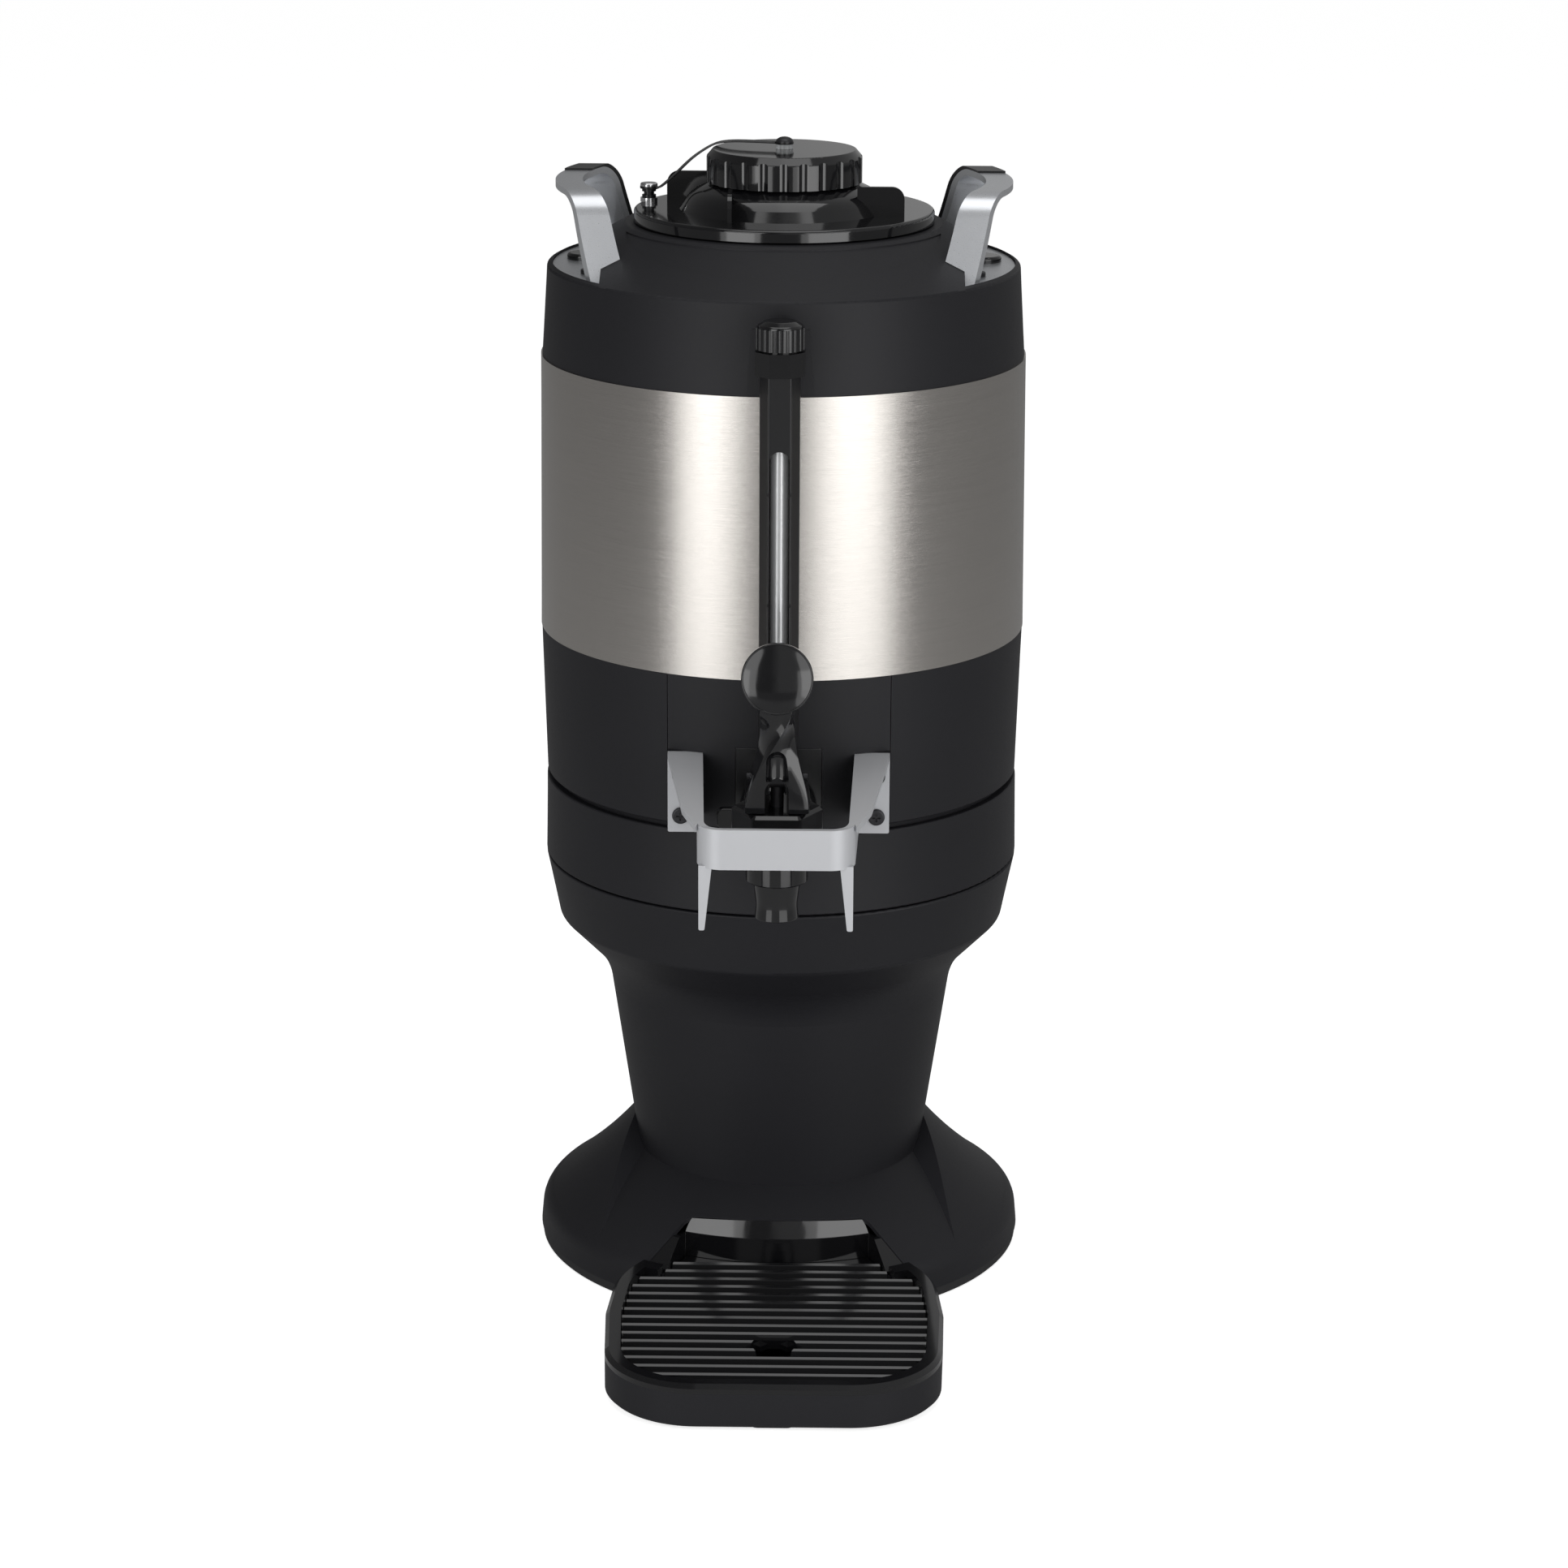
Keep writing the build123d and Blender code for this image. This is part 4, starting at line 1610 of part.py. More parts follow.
PIECES = {
    "foot_ring": foot_ring, "base_plate": base_plate, "base_screws": base_screws,
    "base_skirt": base_skirt, "notch_insert": notch_insert, "pedestal_column": pedestal_column,
    "stand_collar": stand_collar, "vessel_cradle": vessel_cradle, "lower_housing": lower_housing,
    "front_panel": front_panel, "escutcheon": escutcheon, "steel_band": steel_band,
    "shoulder_housing": shoulder_housing, "handle_left": handle_left, "handle_right": handle_right,
    "handle_trims": handle_trims, "handle_plugs": handle_plugs, "handle_screws": handle_screws,
    "liner": liner, "vacuum_wall": vacuum_wall, "lid": lid, "lid_gasket": lid_gasket,
    "mixing_tube": mixing_tube, "fill_cap": fill_cap, "cap_seal": cap_seal,
    "swivel_screw": swivel_screw, "swivel_washer": swivel_washer, "strap": strap,
    "strap_post": strap_post, "strap_spacer": strap_spacer, "gauge_shield": gauge_shield,
    "gauge_glass": gauge_glass, "gauge_collar": gauge_collar, "gauge_top_seal": gauge_top_seal,
    "gauge_cap": gauge_cap, "shank_tube": shank_tube, "shank_washer": shank_washer,
    "gauge_base": gauge_base, "gauge_bottom_seal": gauge_bottom_seal, "shank_nut": shank_nut,
    "tap_body": tap_body, "bonnet": bonnet, "tap_stem": tap_stem, "seat_cup": seat_cup,
    "tap_spring": tap_spring, "handle_pin": handle_pin, "tap_handle": tap_handle, "guard": guard,
    "guard_screws": guard_screws, "drip_tray": drip_tray, "tray_rim": tray_rim,
    "drip_grille": drip_grille, "tray_feet": tray_feet,
}

os.makedirs("parts", exist_ok=True)
for name, make in PIECES.items():
    piece = make()
    if isinstance(piece, list):
        piece = Compound(children=[one for item in piece for one in item.solids()])
    piece.label = name
    export_step(piece, f"parts/{name}.step")
    print(name, round(piece.volume))
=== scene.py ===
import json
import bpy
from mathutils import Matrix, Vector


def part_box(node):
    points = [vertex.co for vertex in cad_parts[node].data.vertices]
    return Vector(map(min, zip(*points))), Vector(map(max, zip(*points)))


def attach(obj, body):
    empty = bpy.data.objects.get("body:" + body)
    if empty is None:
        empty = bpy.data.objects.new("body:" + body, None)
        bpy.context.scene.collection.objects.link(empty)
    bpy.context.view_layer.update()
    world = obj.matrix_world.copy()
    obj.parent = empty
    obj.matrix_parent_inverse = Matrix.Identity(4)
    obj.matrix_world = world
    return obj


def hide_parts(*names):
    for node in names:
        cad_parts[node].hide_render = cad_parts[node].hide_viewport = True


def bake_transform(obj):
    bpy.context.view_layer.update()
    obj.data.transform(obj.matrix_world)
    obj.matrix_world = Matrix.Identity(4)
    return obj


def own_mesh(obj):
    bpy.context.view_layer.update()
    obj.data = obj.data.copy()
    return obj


bl_info = {
    "name": "Beverage Server",
    "version": (1, 0, 0),
    "blender": (4, 5, 0),
    "location": "View3D > Sidebar > Server",
    "description": "Dresses a pedestal coffee server: finishes, detailed pieces and a studio",
    "category": "Add Mesh",
}

from math import atan2, cos, pi, radians

import bmesh
import bpy
from mathutils import Matrix, Vector

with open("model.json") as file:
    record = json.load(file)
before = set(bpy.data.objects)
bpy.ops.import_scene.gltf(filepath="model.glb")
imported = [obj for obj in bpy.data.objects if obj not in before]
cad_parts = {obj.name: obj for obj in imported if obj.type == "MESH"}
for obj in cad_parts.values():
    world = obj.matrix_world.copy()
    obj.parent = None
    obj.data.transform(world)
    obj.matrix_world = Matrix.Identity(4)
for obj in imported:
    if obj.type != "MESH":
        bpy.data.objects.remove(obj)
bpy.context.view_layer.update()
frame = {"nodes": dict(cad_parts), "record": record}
NODES = frame["nodes"]
MM = 0.001


# Node graphs


class Value:
    """One output socket of a node, which takes part in sums like a number."""

    def __init__(self, graph, socket):
        self.graph = graph
        self.socket = socket

    def _math(self, operation, *values, clamp=False):
        settings = {"operation": operation, "use_clamp": clamp}
        return self.graph.add("ShaderNodeMath", settings, dict(enumerate(values)))["Value"]

    def __add__(self, other):
        return self._math("ADD", self, other)

    __radd__ = __add__

    def __sub__(self, other):
        return self._math("SUBTRACT", self, other)

    def __rsub__(self, other):
        return self._math("SUBTRACT", other, self)

    def __mul__(self, other):
        return self._math("MULTIPLY", self, other)

    __rmul__ = __mul__

    def clamped(self):
        """The value kept between 0 and 1."""
        return self._math("ADD", self, 0, clamp=True)


class Outputs:
    """The output sockets of one node, by name."""

    def __init__(self, graph, node):
        self.graph = graph
        self.node = node

    def __getitem__(self, name):
        """An output by its label, or by its number where labels repeat."""
        return Value(self.graph, self.node.outputs[name])


class Graph:
    """A material's node tree under construction."""

    def __init__(self, name):
        self.material = bpy.data.materials.new(name)
        self.material.use_nodes = True
        self.tree = self.material.node_tree
        self.tree.nodes.clear()

    @classmethod
    def of_tree(cls, tree):
        """A graph in a tree that exists already, such as the world's."""
        graph = cls.__new__(cls)
        graph.tree = tree
        tree.nodes.clear()
        return graph

    def add(self, kind, settings=None, sockets=None):
        """A node of this kind: its settings first, then the values or links of its sockets."""
        node = self.tree.nodes.new(kind)
        for name, setting in (settings or {}).items():
            setattr(node, name, setting)
        for name, value in (sockets or {}).items():
            if isinstance(value, Value):
                self.tree.links.new(value.socket, node.inputs[name])
            else:
                node.inputs[name].default_value = value
        return Outputs(self, node)

    def place(self):
        """Where a point of the piece lies, in metres in the shared frame."""
        return self.add("ShaderNodeTexCoord")["Object"]

    def stretched(self, size):
        """The place with each axis counted in its own unit, given in millimetres."""
        scale = tuple(1 / (length * MM) for length in size)
        return self.add("ShaderNodeMapping", {}, {"Vector": self.place(), "Scale": scale})["Vector"]

    def noise(self, size, detail=2.0, roughness=0.5):
        """Soft noise between 0 and 1, with features of this size in millimetres."""
        place = self.stretched(size if isinstance(size, tuple) else (size, size, size))
        sockets = {"Vector": place, "Scale": 1.0, "Detail": detail, "Roughness": roughness}
        return self.add("ShaderNodeTexNoise", {}, sockets)["Fac"]

    def mix(self, factor, first, second):
        """A colour between two others."""
        return self.add("ShaderNodeMix", {"data_type": "RGBA"}, {0: factor, 6: first, 7: second})[2]

    def bump(self, height, depth, strength=1.0):
        """A normal that follows a height of 0 to 1 over this depth in millimetres."""
        sockets = {"Height": height, "Distance": depth * MM, "Strength": strength}
        return self.add("ShaderNodeBump", {}, sockets)["Normal"]

    def surface(self, **sockets):
        """The finish itself, with its sockets named by their labels, spaces as underscores."""
        named = {label.replace("_", " "): value for label, value in sockets.items()}
        shader = self.add("ShaderNodeBsdfPrincipled", {}, named)["BSDF"]
        self.add("ShaderNodeOutputMaterial", {}, {"Surface": shader})
        return self.material


def shade(colour, share):
    """The colour made lighter or darker by a share."""
    return tuple(min(1.0, channel * share) for channel in colour[:3]) + (1.0,)


# Finishes


def moulded_black(looks):
    """Fine-textured matte plastic."""
    graph = Graph("moulded_black")
    grain = graph.noise(0.55, detail=3.0, roughness=0.6)
    cloud = graph.noise(60.0, detail=1.0)
    colour = graph.mix(cloud, shade(looks.moulded_colour, 0.88), shade(looks.moulded_colour, 1.12))
    rough = looks.moulded_roughness + (grain - 0.5) * 0.16
    return graph.surface(
        Base_Color=colour, Roughness=rough, Specular_IOR_Level=0.28, Normal=graph.bump(grain, 0.06, 0.5),
    )


def polished_black(looks):
    """Deep gloss plastic with a faint mould ripple."""
    graph = Graph("polished_black")
    ripple = graph.noise(14.0, detail=1.0)
    haze = graph.noise(3.0, detail=3.0)
    colour = graph.mix(haze, shade(looks.polished_colour, 0.9), shade(looks.polished_colour, 1.15))
    rough = looks.polished_roughness + (haze - 0.5) * 0.05
    return graph.surface(
        Base_Color=colour, Roughness=rough, Coat_Weight=0.35, Coat_Roughness=0.06,
        Normal=graph.bump(ripple, 0.05, 0.35),
    )


def satin_black(looks):
    """Half-gloss plastic of the gauge's shield."""
    graph = Graph("satin_black")
    grain = graph.noise(0.7, detail=2.0)
    rough = looks.satin_roughness + (grain - 0.5) * 0.08
    colour = graph.mix(grain, shade(looks.polished_colour, 1.1), shade(looks.polished_colour, 1.5))
    return graph.surface(Base_Color=colour, Roughness=rough, Normal=graph.bump(grain, 0.03, 0.3))


def brushed_band(looks):
    """Stainless sheet brushed around its girth."""
    graph = Graph("brushed_band")
    fine = graph.noise((38.0, 38.0, 0.16), detail=4.0, roughness=0.7)
    broad = graph.noise((90.0, 90.0, 1.4), detail=2.0)
    streak = fine * 0.7 + broad * 0.3
    colour = graph.mix(streak.clamped(), shade(looks.steel_colour, 0.86), shade(looks.steel_colour, 1.1))
    rough = looks.steel_roughness + (streak - 0.5) * 0.16
    return graph.surface(
        Base_Color=colour, Metallic=1.0, Roughness=rough, Normal=graph.bump(fine, 0.04, 1.0),
    )


def drawn_steel(looks):
    """Plain drawn stainless of the vessel's walls."""
    graph = Graph("drawn_steel")
    fine = graph.noise((1.2, 1.2, 30.0), detail=3.0)
    colour = graph.mix(fine, shade(looks.steel_colour, 0.85), shade(looks.steel_colour, 1.0))
    return graph.surface(Base_Color=colour, Metallic=1.0, Roughness=0.3 + (fine - 0.5) * 0.1)


def silver_paint(looks):
    """Satin paint with a fine metallic flake."""
    graph = Graph("silver_paint")
    flake = graph.noise(0.35, detail=1.0)
    cloud = graph.noise(25.0)
    tone = (flake * 0.6 + cloud * 0.4).clamped()
    colour = graph.mix(tone, shade(looks.silver_colour, 0.9), shade(looks.silver_colour, 1.1))
    rough = looks.silver_roughness + (flake - 0.5) * 0.12
    return graph.surface(
        Base_Color=colour, Metallic=0.8, Roughness=rough, Normal=graph.bump(flake, 0.02, 0.35),
    )


def soft_rubber(looks):
    """Matte black rubber."""
    graph = Graph("soft_rubber")
    grain = graph.noise(0.8, detail=3.0)
    colour = graph.mix(grain, (0.012, 0.012, 0.013, 1), (0.025, 0.025, 0.027, 1))
    rough = 0.75 + (grain - 0.5) * 0.1
    return graph.surface(Base_Color=colour, Roughness=rough, Normal=graph.bump(grain, 0.08, 0.4))


def pale_silicone(looks):
    """Milky seal rubber."""
    graph = Graph("pale_silicone")
    cloud = graph.noise(4.0)
    colour = graph.mix(cloud, (0.58, 0.58, 0.55, 1), (0.7, 0.7, 0.67, 1))
    return graph.surface(Base_Color=colour, Roughness=0.45 + (cloud - 0.5) * 0.1)


def clear_tube(looks):
    """The gauge's glass, painted as one bright silver tube: its silver colour and streaks are a painted
    reflection.
    """
    graph = Graph("clear_tube")
    streak = graph.noise((1.5, 1.5, 60.0), detail=2.0)
    # Painted reflection: a bright silvery colour with streaks along the tube stands in for what the
    # glass mirrors.
    colour = graph.mix(streak, (0.62, 0.63, 0.64, 1), (0.86, 0.87, 0.88, 1))
    rough = 0.28 + (streak - 0.5) * 0.08
    return graph.surface(
        Base_Color=colour, Metallic=0.6, Roughness=rough, Coat_Weight=1.0, Coat_Roughness=0.03,
    )


def clear_plastic(looks):
    """The clear washer under the swivel's screw."""
    graph = Graph("clear_plastic")
    cloud = graph.noise(2.0)
    colour = graph.mix(cloud, (0.75, 0.78, 0.8, 1), (0.9, 0.92, 0.93, 1))
    return graph.surface(Base_Color=colour, Roughness=0.1, Transmission_Weight=0.6, IOR=1.49)


def bright_metal(looks):
    """Turned and plated metal."""
    graph = Graph("bright_metal")
    turned = graph.noise((20.0, 20.0, 0.2), detail=2.0)
    colour = graph.mix(turned, (0.6, 0.6, 0.61, 1), (0.78, 0.78, 0.79, 1))
    return graph.surface(Base_Color=colour, Metallic=1.0, Roughness=0.16 + (turned - 0.5) * 0.08)


def blackened_screw(looks):
    """Blackened steel of the screws."""
    graph = Graph("blackened_screw")
    grain = graph.noise(0.5, detail=2.0)
    colour = graph.mix(grain, (0.018, 0.018, 0.02, 1), (0.05, 0.05, 0.055, 1))
    return graph.surface(Base_Color=colour, Metallic=0.5, Roughness=0.36 + (grain - 0.5) * 0.15)


FINISHES = {
    "matte_black": moulded_black,
    "gloss_black": polished_black,
    "shield_black": satin_black,
    "stainless": brushed_band,
    "vessel_steel": drawn_steel,
    "silver_paint": silver_paint,
    "screw_black": blackened_screw,
    "trim_black": satin_black,
    "strap_black": satin_black,
    "foot_rubber": soft_rubber,
    "silicone": pale_silicone,
    # The gauge's glass gets a painted reflection as its colour.
    "clear_glass": clear_tube,
    "clear_plastic": clear_plastic,
    "bright_metal": bright_metal,
}


# Settings


class LookSettings(bpy.types.PropertyGroup):
    """Colours and roughness of the finishes."""

    moulded_colour: bpy.props.FloatVectorProperty(
        name="Matte plastic", description="Colour of the textured plastic",
        subtype="COLOR", size=3, default=(0.0118, 0.0118, 0.0142), min=0.0, max=1.0,
    )
    moulded_roughness: bpy.props.FloatProperty(
        name="Matte roughness", description="Roughness of the textured plastic",
        default=0.52, min=0.0, max=1.0,
    )
    polished_colour: bpy.props.FloatVectorProperty(
        name="Gloss plastic", description="Colour of the polished plastic",
        subtype="COLOR", size=3, default=(0.0045, 0.0045, 0.0052), min=0.0, max=1.0,
    )
    polished_roughness: bpy.props.FloatProperty(
        name="Gloss roughness", description="Roughness of the polished plastic",
        default=0.1, min=0.0, max=1.0,
    )
    satin_roughness: bpy.props.FloatProperty(
        name="Satin roughness", description="Roughness of the shield's plastic",
        default=0.32, min=0.0, max=1.0,
    )
    steel_colour: bpy.props.FloatVectorProperty(
        name="Steel", description="Colour of the brushed steel",
        subtype="COLOR", size=3, default=(0.56, 0.535, 0.505), min=0.0, max=1.0,
    )
    steel_roughness: bpy.props.FloatProperty(
        name="Steel roughness", description="Roughness of the brushed steel",
        default=0.24, min=0.0, max=1.0,
    )
    silver_colour: bpy.props.FloatVectorProperty(
        name="Silver paint", description="Colour of the painted metal",
        subtype="COLOR", size=3, default=(0.66, 0.675, 0.7), min=0.0, max=1.0,
    )
    silver_roughness: bpy.props.FloatProperty(
        name="Silver roughness", description="Roughness of the painted metal",
        default=0.3, min=0.0, max=1.0,
    )


class StageSettings(bpy.types.PropertyGroup):
    """Camera, lamps and floor."""

    camera_distance: bpy.props.FloatProperty(
        name="Camera distance", description="From the axis to the camera, along the floor",
        default=1.934, unit="LENGTH",
    )
    camera_height: bpy.props.FloatProperty(
        name="Camera height", description="Height of the camera over the table",
        default=0.82, unit="LENGTH",
    )
    camera_side: bpy.props.FloatProperty(
        name="Camera side", description="How far the camera stands to the right",
        default=0.022, unit="LENGTH",
    )
    camera_pitch: bpy.props.FloatProperty(
        name="Camera pitch", description="How far the camera looks down",
        default=radians(16.74), subtype="ANGLE",
    )
    camera_roll: bpy.props.FloatProperty(
        name="Camera roll", description="Turn of the camera about its view",
        default=radians(0.3), subtype="ANGLE",
    )
    camera_lens: bpy.props.FloatProperty(
        name="Lens", description="Focal length on a 36 mm frame", default=92.18, min=10.0,
    )
    key_power: bpy.props.FloatProperty(
        name="Key power", description="Left lamp's power in watts", default=14.0,
    )
    fill_power: bpy.props.FloatProperty(
        name="Fill power", description="Right lamp's power in watts", default=12.0,
    )
    top_power: bpy.props.FloatProperty(
        name="Top power", description="Overhead lamp's power in watts", default=8.0,
    )
    left_strip_power: bpy.props.FloatProperty(
        name="Left strip power", description="Left low lamp's power in watts", default=0.85,
    )
    right_strip_power: bpy.props.FloatProperty(
        name="Right strip power", description="Right low lamp's power in watts", default=1.19,
    )
    world_light: bpy.props.FloatProperty(
        name="Ambient", description="Strength of the all-round light", default=0.32,
    )
    mirrored_light: bpy.props.FloatProperty(
        name="Mirrored room", description="Strength of the room as metal and gloss show it",
        default=0.12,
    )
    floor_glow: bpy.props.FloatProperty(
        name="Floor glow", description="Lifts the seen floor to white", default=0.72,
    )
    mirrored_glow: bpy.props.FloatProperty(
        name="Mirrored glow", description="Lifts the floor as metal and gloss show it",
        default=0.06,
    )


SETTINGS = {"server_looks": LookSettings, "server_stage": StageSettings}


# Operators

# How close counts as the same place, in millimetres: for picking, for welding a finished piece
# and for welding a copied node.
NEAR = 0.1
WELD = 0.01
NODE_WELD = 0.005
# The upward share of a normal over which a face counts as a top.
UPWARD_SHARE = 0.9
# How strongly the larger faces set the shading of a flat piece, up to 100.
FLAT_WEIGHT = 80


def clear_selection():
    """Leaves object mode with nothing selected."""
    if bpy.context.object and bpy.context.object.mode != "OBJECT":
        bpy.ops.object.mode_set(mode="OBJECT")
    bpy.ops.object.select_all(action="DESELECT")


def choose(piece):
    """Makes a piece the only one selected, and active."""
    clear_selection()
    piece.select_set(True)
    bpy.context.view_layer.objects.active = piece


def begin(kind, name, scale=(1, 1, 1), **options):
    """A new primitive with its place in its mesh."""
    clear_selection()
    getattr(bpy.ops.mesh, "primitive_" + kind + "_add")(**options)
    piece = bpy.context.object
    piece.name = name
    piece.data.name = name
    piece.scale = scale
    bpy.ops.object.transform_apply(location=True, rotation=True, scale=True)
    return piece


def edit(piece, mode="FACE"):
    """Opens a piece in edit mode with nothing in it selected."""
    choose(piece)
    bpy.ops.object.mode_set(mode="EDIT")
    bpy.ops.mesh.select_mode(type=mode)
    bpy.ops.mesh.select_all(action="DESELECT")


def pick(piece, kind, test):
    """Selects just the faces, edges or verts of an open piece that pass a test."""
    bpy.ops.mesh.select_all(action="DESELECT")
    mesh = bmesh.from_edit_mesh(piece.data)
    for part in getattr(mesh, kind):
        if test(part):
            part.select_set(True)
    mesh.select_flush_mode()
    bmesh.update_edit_mesh(piece.data)


def lathe(name, profile, sides, axis):
    """A turned shape about an upright axis through a place, from (radius, height) pairs in mm."""
    (radius, height), *rest = profile
    start = axis + Vector((0, 0, height * MM))
    piece = begin("circle", name, fill_type="NGON", vertices=sides, radius=radius * MM, location=start)
    edit(piece)
    bpy.ops.mesh.select_all(action="SELECT")
    for next_radius, next_height in rest:
        move = (0, 0, (next_height - height) * MM)
        bpy.ops.mesh.extrude_region_move(TRANSFORM_OT_translate={"value": move})
        centre = axis + Vector((0, 0, next_height * MM))
        share = next_radius / radius
        bpy.ops.transform.resize(value=(share, share, 1), center_override=centre)
        radius, height = next_radius, next_height
    bpy.ops.object.mode_set(mode="OBJECT")
    return piece


def modify(piece, kind, **settings):
    """Adds one modifier with these settings and applies it."""
    choose(piece)
    modifier = piece.modifiers.new(kind.lower(), kind)
    for name, setting in settings.items():
        setattr(modifier, name, setting)
    bpy.ops.object.modifier_apply(modifier=modifier.name)


def carve(piece, cutter):
    """Takes a cutter's space out of a piece, and the cutter away."""
    modify(piece, "BOOLEAN", operation="DIFFERENCE", solver="EXACT", object=cutter)
    bpy.data.objects.remove(cutter)


def turn(piece, angle, axis, centre):
    """Turns a whole piece about an axis through a point."""
    there, back = Matrix.Translation(centre), Matrix.Translation(-Vector(centre))
    piece.matrix_world = there @ Matrix.Rotation(angle, 4, axis) @ back @ piece.matrix_world
    choose(piece)
    bpy.ops.object.transform_apply(location=True, rotation=True, scale=True)


def finish_piece(piece, body, slot, angle, replaces, flat=False):
    """Closes, smooths and dresses a piece, and sets it on its body in place of a node.

    Edges that turn by less than the angle, in degrees, are shaded smooth. With flat, the large
    faces keep a flat shading next to eased edges.
    """
    edit(piece)
    bpy.ops.mesh.select_all(action="SELECT")
    bpy.ops.mesh.remove_doubles(threshold=WELD * MM)
    bpy.ops.mesh.normals_make_consistent(inside=False)
    bpy.ops.object.mode_set(mode="OBJECT")
    choose(piece)
    bpy.ops.object.shade_smooth_by_angle(angle=radians(angle))
    if flat:
        modify(piece, "WEIGHTED_NORMAL", keep_sharp=True, weight=FLAT_WEIGHT)
    piece.data.materials.clear()
    piece.data.materials.append(bpy.data.materials[FINISHES[slot].__name__])
    if body:
        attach(piece, body)
    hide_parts(replaces)


class SERVER_OT_finishes(bpy.types.Operator):
    """Gives every carried-over node its finish"""

    bl_idname = "server.finishes"
    bl_label = "Finishes"

    def execute(self, context):
        looks = context.scene.server_looks
        made = {slot: make(looks) for slot, make in FINISHES.items()}
        for entry in frame["record"]["subparts"]:
            mesh = NODES[entry["node"]].data
            mesh.materials.clear()
            mesh.materials.append(made[entry["material_slot"]])
        return {"FINISHED"}


BODIES = frame["record"]["behaviour"]["bodies"]
BODY_OF = {node: body for body, nodes in BODIES.items() for node in nodes}

# The width in millimetres that each node's hard edges are eased by, and its finish.
EDGES = {
    "guard": (0.9, "silver_paint"),
    "notch_insert": (0.5, "gloss_black"),
    "escutcheon": (0.3, "shield_black"),
    "shank_nut": (0.6, "gloss_black"),
    "gauge_base": (0.5, "gloss_black"),
}
# Edges that turn by more than this are eased, and those that turn by less than that are flat.
HARD_EDGE = radians(32)
FLAT_EDGE = radians(1)
# Where the guard's prongs leave the band, in millimetres: the corners' round, the places between
# which they lie, sideways and in height, and how deep they reach at least.
ROOT_R = 3.0
ROOT_SIDE = (28.5, 30.0)
ROOT_HEIGHT = (256.0, 259.0)
ROOT_DEPTH = 2.0


class SERVER_OT_softened(bpy.types.Operator):
    """Eases the hard edges of the cast and moulded pieces"""

    bl_idname = "server.softened"
    bl_label = "Softened edges"

    def execute(self, context):
        for node, (width, slot) in EDGES.items():
            piece = bpy.data.objects.new("soft_" + node, NODES[node].data.copy())
            context.collection.objects.link(piece)
            edit(piece, "EDGE")
            bpy.ops.mesh.select_all(action="SELECT")
            bpy.ops.mesh.remove_doubles(threshold=NODE_WELD * MM)
            bpy.ops.mesh.dissolve_limited(angle_limit=FLAT_EDGE)
            if node == "guard":
                pick(piece, "edges", self.is_prong_root)
                bpy.ops.mesh.bevel(offset=ROOT_R * MM, segments=8)
            bpy.ops.object.mode_set(mode="OBJECT")
            modify(piece, "BEVEL", width=width * MM, segments=3, limit_method="ANGLE",
                   angle_limit=HARD_EDGE, use_clamp_overlap=True)
            finish_piece(piece, BODY_OF[node], slot, angle=40, replaces=node, flat=True)
        return {"FINISHED"}

    def is_prong_root(self, edge):
        """True for the guard's inner corners, where a prong leaves the band."""
        first, second = (end.co / MM for end in edge.verts)
        inner, outer = ROOT_SIDE
        low, high = ROOT_HEIGHT
        across = abs(first.y - second.y) > ROOT_DEPTH
        return across and all(
            inner < abs(end.x) < outer and low < end.z < high for end in (first, second)
        )


# The height of the lever's underside. The tap's and strap's sizes are in millimetres.
LEVER_FOOT_Z = 277.3

# Levels of the tap's lever: height, half width, front and back of the section, twist in degrees.
LEVER_LEVELS = (
    (280.0, 15.2, -178.6, -151.2, 0.0),
    (286.0, 14.3, -178.2, -152.0, 1.0),
    (292.0, 12.4, -177.6, -153.8, 3.0),
    (297.0, 10.4, -177.2, -156.2, 7.0),
    (301.0, 8.8, -177.0, -158.6, 12.0),
    (305.0, 7.4, -177.0, -160.8, 20.0),
    (309.0, 6.3, -177.0, -162.8, 32.0),
    (313.0, 5.6, -177.3, -164.6, 47.0),
    (317.0, 5.7, -178.1, -165.8, 63.0),
    (321.0, 6.3, -179.2, -166.6, 77.0),
    (325.0, 7.0, -180.2, -167.4, 87.0),
    (329.0, 7.4, -181.0, -168.6, 90.0),
)

# How crisp the lever's long edges and those of its foot stay, from 0 to 1.
LONG_CREASE = 0.6
FOOT_CREASE = 0.85
# An edge that rises by more than this is one of the long ones.
LONG_RISE = 2.0

# The two arched passages through the foot: radius, height of the arch's centre, front and back.
STEM_BORE = (6.2, 292.8, -171.5, -140.0)
FRONT_ARCH = (5.5, 287.6, -190.0, -160.0)
ARCH_OVERRUN = 2.0

# The polished hollow over the front arch: centre and half size of its round top, then how it
# goes down, as steps and the share that each widens by.
HOLLOW_CENTRE = (0.3, -179.6, 302.0)
HOLLOW_SIZE = (5.3, 5.8, 5.3)
HOLLOW_LEVELS = ((4.0, 1.04), (4.0, 1.02), (1.4, 0.97))
HOLLOW_BAND = 0.2

# The knob's turned profile from its back to its face: radius, height.
KNOB_PROFILE = (
    (8.0, -1.4), (12.5, -0.9), (14.8, 0.2), (16.0, 1.8), (16.5, 3.6), (16.5, 6.6), (16.4, 7.2),
    (16.1, 7.6), (15.8, 7.7), (15.6, 7.6), (15.45, 7.3), (14.6, 7.5), (12.8, 7.95), (10.2, 8.4),
    (7.0, 8.8), (3.5, 9.05), (0.05, 9.15),
)
# The knob's centre, how far behind it the profile starts, and how far its face leans back.
KNOB_CENTRE = (0.0, -176.0, 341.0)
KNOB_BACK = 4.25
KNOB_LEAN = radians(12)
KNOB_SIDES = 64


